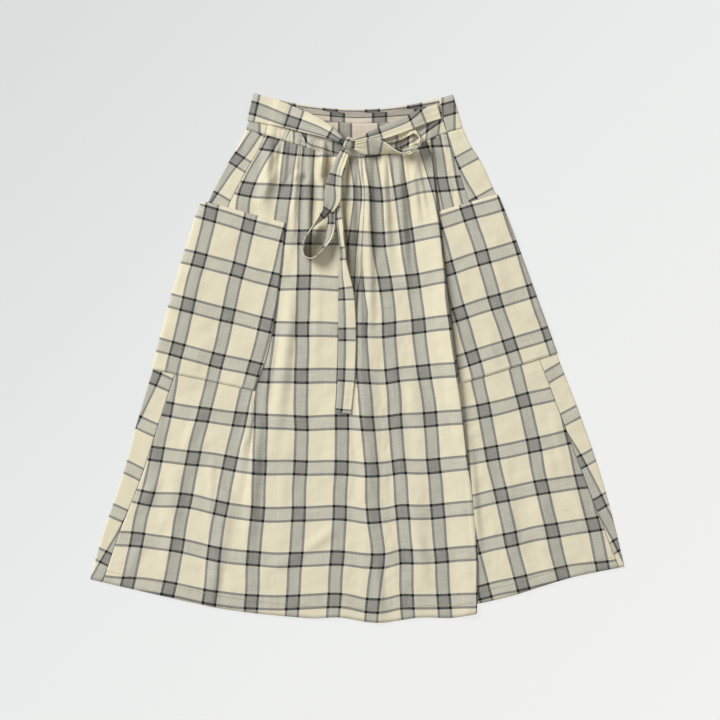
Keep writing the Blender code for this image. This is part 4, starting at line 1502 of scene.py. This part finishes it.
class SKIRT_OT_knot(bpy.types.Operator):
    """Adds the knot of the bow"""

    bl_idname = "skirt.knot"
    bl_label = "Knot"

    def execute(self, context):
        x, y = KNOT_PLACE
        size = np.array(KNOT_SIZE)
        middle = np.array((x, y, float(draped_height(x, y)) + SEAM_GAP + size[2] / 2))
        turn = np.linspace(0, 2 * np.pi, KNOT_COLUMNS)[None, :]
        rise = np.linspace(-1, 1, KNOT_ROWS)[:, None]
        # A band wound round: full in the middle, drawn in at both ends, with creases along it.
        full = np.sqrt(np.clip(1 - np.abs(rise) ** KNOT_SHOULDER, 0, 1))
        crease = 1 - KNOT_CREASE * np.abs(np.sin(KNOT_CREASES * turn + KNOT_TWIST * rise))
        across = 0.5 * size[0] * full * crease * np.cos(turn)
        high = 0.5 * size[2] * full * crease * np.sin(turn)
        along = 0.5 * size[1] * rise + 0 * turn
        cos, sin = math.cos(KNOT_TILT), math.sin(KNOT_TILT)
        points = middle + np.stack([
            across * cos - along * sin, across * sin + along * cos, high], axis=-1)
        check = np.stack([
            turn / KNOT_REPEAT + 0 * rise, rise * KNOT_BAND + KNOT_BAND_UP + 0 * turn], axis=-1)
        lay_cloth("bow_knot", points, check, KNOT_WALL, OUTSIDE)
        return {"FINISHED"}


class SKIRT_OT_stitches(bpy.types.Operator):
    """Sews the topstitching at the waist, on the pockets and along the hem"""

    bl_idname = "skirt.stitches"
    bl_label = "Topstitching"

    def execute(self, context):
        raised = np.array((0, 0, (WALL + THREAD) / 2))
        across = np.linspace(*WAIST_STITCHES, FRONT_BAND_COLUMNS)
        waist = np.stack(front_band(across, WAIST_STITCH_UP), axis=-1) + raised
        sew("waist_topstitching", [waist])
        lines = []
        for rows, mirror in ((POCKET_LEFT, 1), (POCKET_RIGHT, -1)):
            pocket = pocket_points(rows, mirror)[:, 1:POCKET_FRONT_COLUMNS] + raised
            lines.append(pocket[POCKET_BOTTOM_ROW])
        sew("pocket_topstitching", lines)
        points = front_panel_points() + raised
        above = (points[-1, 0, 1] - points[:, 0, 1]) + HEM_STITCH
        hem = points[np.argmin(np.abs(above))]
        sew("hem_topstitching", [hem[:FRONT_LEFT_COLUMNS], hem[-FRONT_RIGHT_COLUMNS:]])
        return {"FINISHED"}


class SKIRT_OT_stage(bpy.types.Operator):
    """Adds the floor, the soft studio light and the camera"""

    bl_idname = "skirt.stage"
    bl_label = "Stage"

    def execute(self, context):
        scene = context.scene
        build = bmesh.new()
        bmesh.ops.create_grid(build, x_segments=1, y_segments=1, size=FLOOR_SIZE / 2)
        floor = add_mesh("floor", build, [self.paper()])
        floor.location.z = -FLOOR_CLEARANCE
        for name, place, size, power in LIGHTS:
            light = bpy.data.lights.new(name, "AREA")
            light.shape, light.size, light.energy = "DISK", size, power
            lamp = add_object(name, light)
            lamp.location = place
            lamp.rotation_euler = (-lamp.location).to_track_quat("-Z", "Y").to_euler()
            lamp.visible_camera = False
        world = bpy.data.worlds.new("soft_studio")
        world.use_nodes = True
        background = world.node_tree.nodes["Background"]
        background.inputs["Color"].default_value = linear(SKY_COLOUR)
        background.inputs["Strength"].default_value = SKY_STRENGTH
        scene.world = world
        scene.view_settings.view_transform = "Standard"
        lens = bpy.data.cameras.new("camera")
        lens.sensor_width = SENSOR
        lens.lens = SENSOR * CAMERA_HEIGHT / FRAME_WIDTH
        lens.clip_end = CAMERA_SEES
        camera = add_object("camera", lens)
        camera.location = (*FRAME_MIDDLE, CAMERA_HEIGHT)
        scene.camera = camera
        return {"FINISHED"}

    def paper(self):
        """Matt paper that glows with painted light, as if it were translucent over a light table.

        It has no gloss and takes soft shadows, which its painted glow fills in. The glow is a
        painted shade darker at one corner.
        """
        material, tree, shader = new_material("matt_background_paper", {
            "Base Color": linear(FLOOR_PAPER), "Emission Strength": 1.0, "Roughness": 0.95,
            "Specular IOR Level": 0.1,
        })
        place = add_node(tree, "ShaderNodeTexCoord")
        mapping = add_node(tree, "ShaderNodeMapping", {
            "Vector": place.outputs["Object"], "Location": (GRADIENT_START, 0, 0),
            "Rotation": (0, 0, GRADIENT_TURN), "Scale": (GRADIENT_SCALE, GRADIENT_SCALE, 1),
        })
        slope = add_node(tree, "ShaderNodeTexGradient", {"Vector": mapping.outputs[0]})
        ramp = add_node(tree, "ShaderNodeValToRGB", {0: slope.outputs["Fac"]})
        ramp.color_ramp.elements[0].color = linear(FLOOR_PAINTED_SHADE)
        ramp.color_ramp.elements[1].color = [*bpy.context.scene.skirt_colours.floor, 1]
        ramp.color_ramp.elements.new(0.5).color = linear(FLOOR_GLOW_MIDDLE)
        # The ramp is the glow: painted shade at one corner, painted light at the other.
        tree.links.new(ramp.outputs[0], shader.inputs["Emission Color"])
        return material


class SKIRT_PT_sidebar(bpy.types.Panel):
    """Lists the skirt's sizes and pieces"""

    bl_idname = "SKIRT_PT_sidebar"
    bl_label = "Prairie skirt"
    bl_space_type = "VIEW_3D"
    bl_region_type = "UI"
    bl_category = "Skirt"

    def draw(self, context):
        for group in (context.scene.skirt_sizes, context.scene.skirt_colours):
            for name in group.__annotations__:
                self.layout.prop(group, name)
        for operator in OPERATORS:
            self.layout.operator(operator.bl_idname)


OPERATORS = (
    SKIRT_OT_panels, SKIRT_OT_pockets, SKIRT_OT_waistbands, SKIRT_OT_sash, SKIRT_OT_knot,
    SKIRT_OT_stitches, SKIRT_OT_stage,
)
CLASSES = (SkirtSizes, SkirtColours, *OPERATORS, SKIRT_PT_sidebar)


def register():
    for item in CLASSES:
        bpy.utils.register_class(item)
    bpy.types.Scene.skirt_sizes = PointerProperty(type=SkirtSizes)
    bpy.types.Scene.skirt_colours = PointerProperty(type=SkirtColours)


def unregister():
    del bpy.types.Scene.skirt_colours
    del bpy.types.Scene.skirt_sizes
    for item in reversed(CLASSES):
        bpy.utils.unregister_class(item)


def main():
    register()
    bpy.ops.skirt.panels()
    bpy.ops.skirt.pockets()
    bpy.ops.skirt.waistbands()
    bpy.ops.skirt.sash()
    bpy.ops.skirt.knot()
    bpy.ops.skirt.stitches()
    bpy.ops.skirt.stage()


if __name__ == "__main__":
    main()
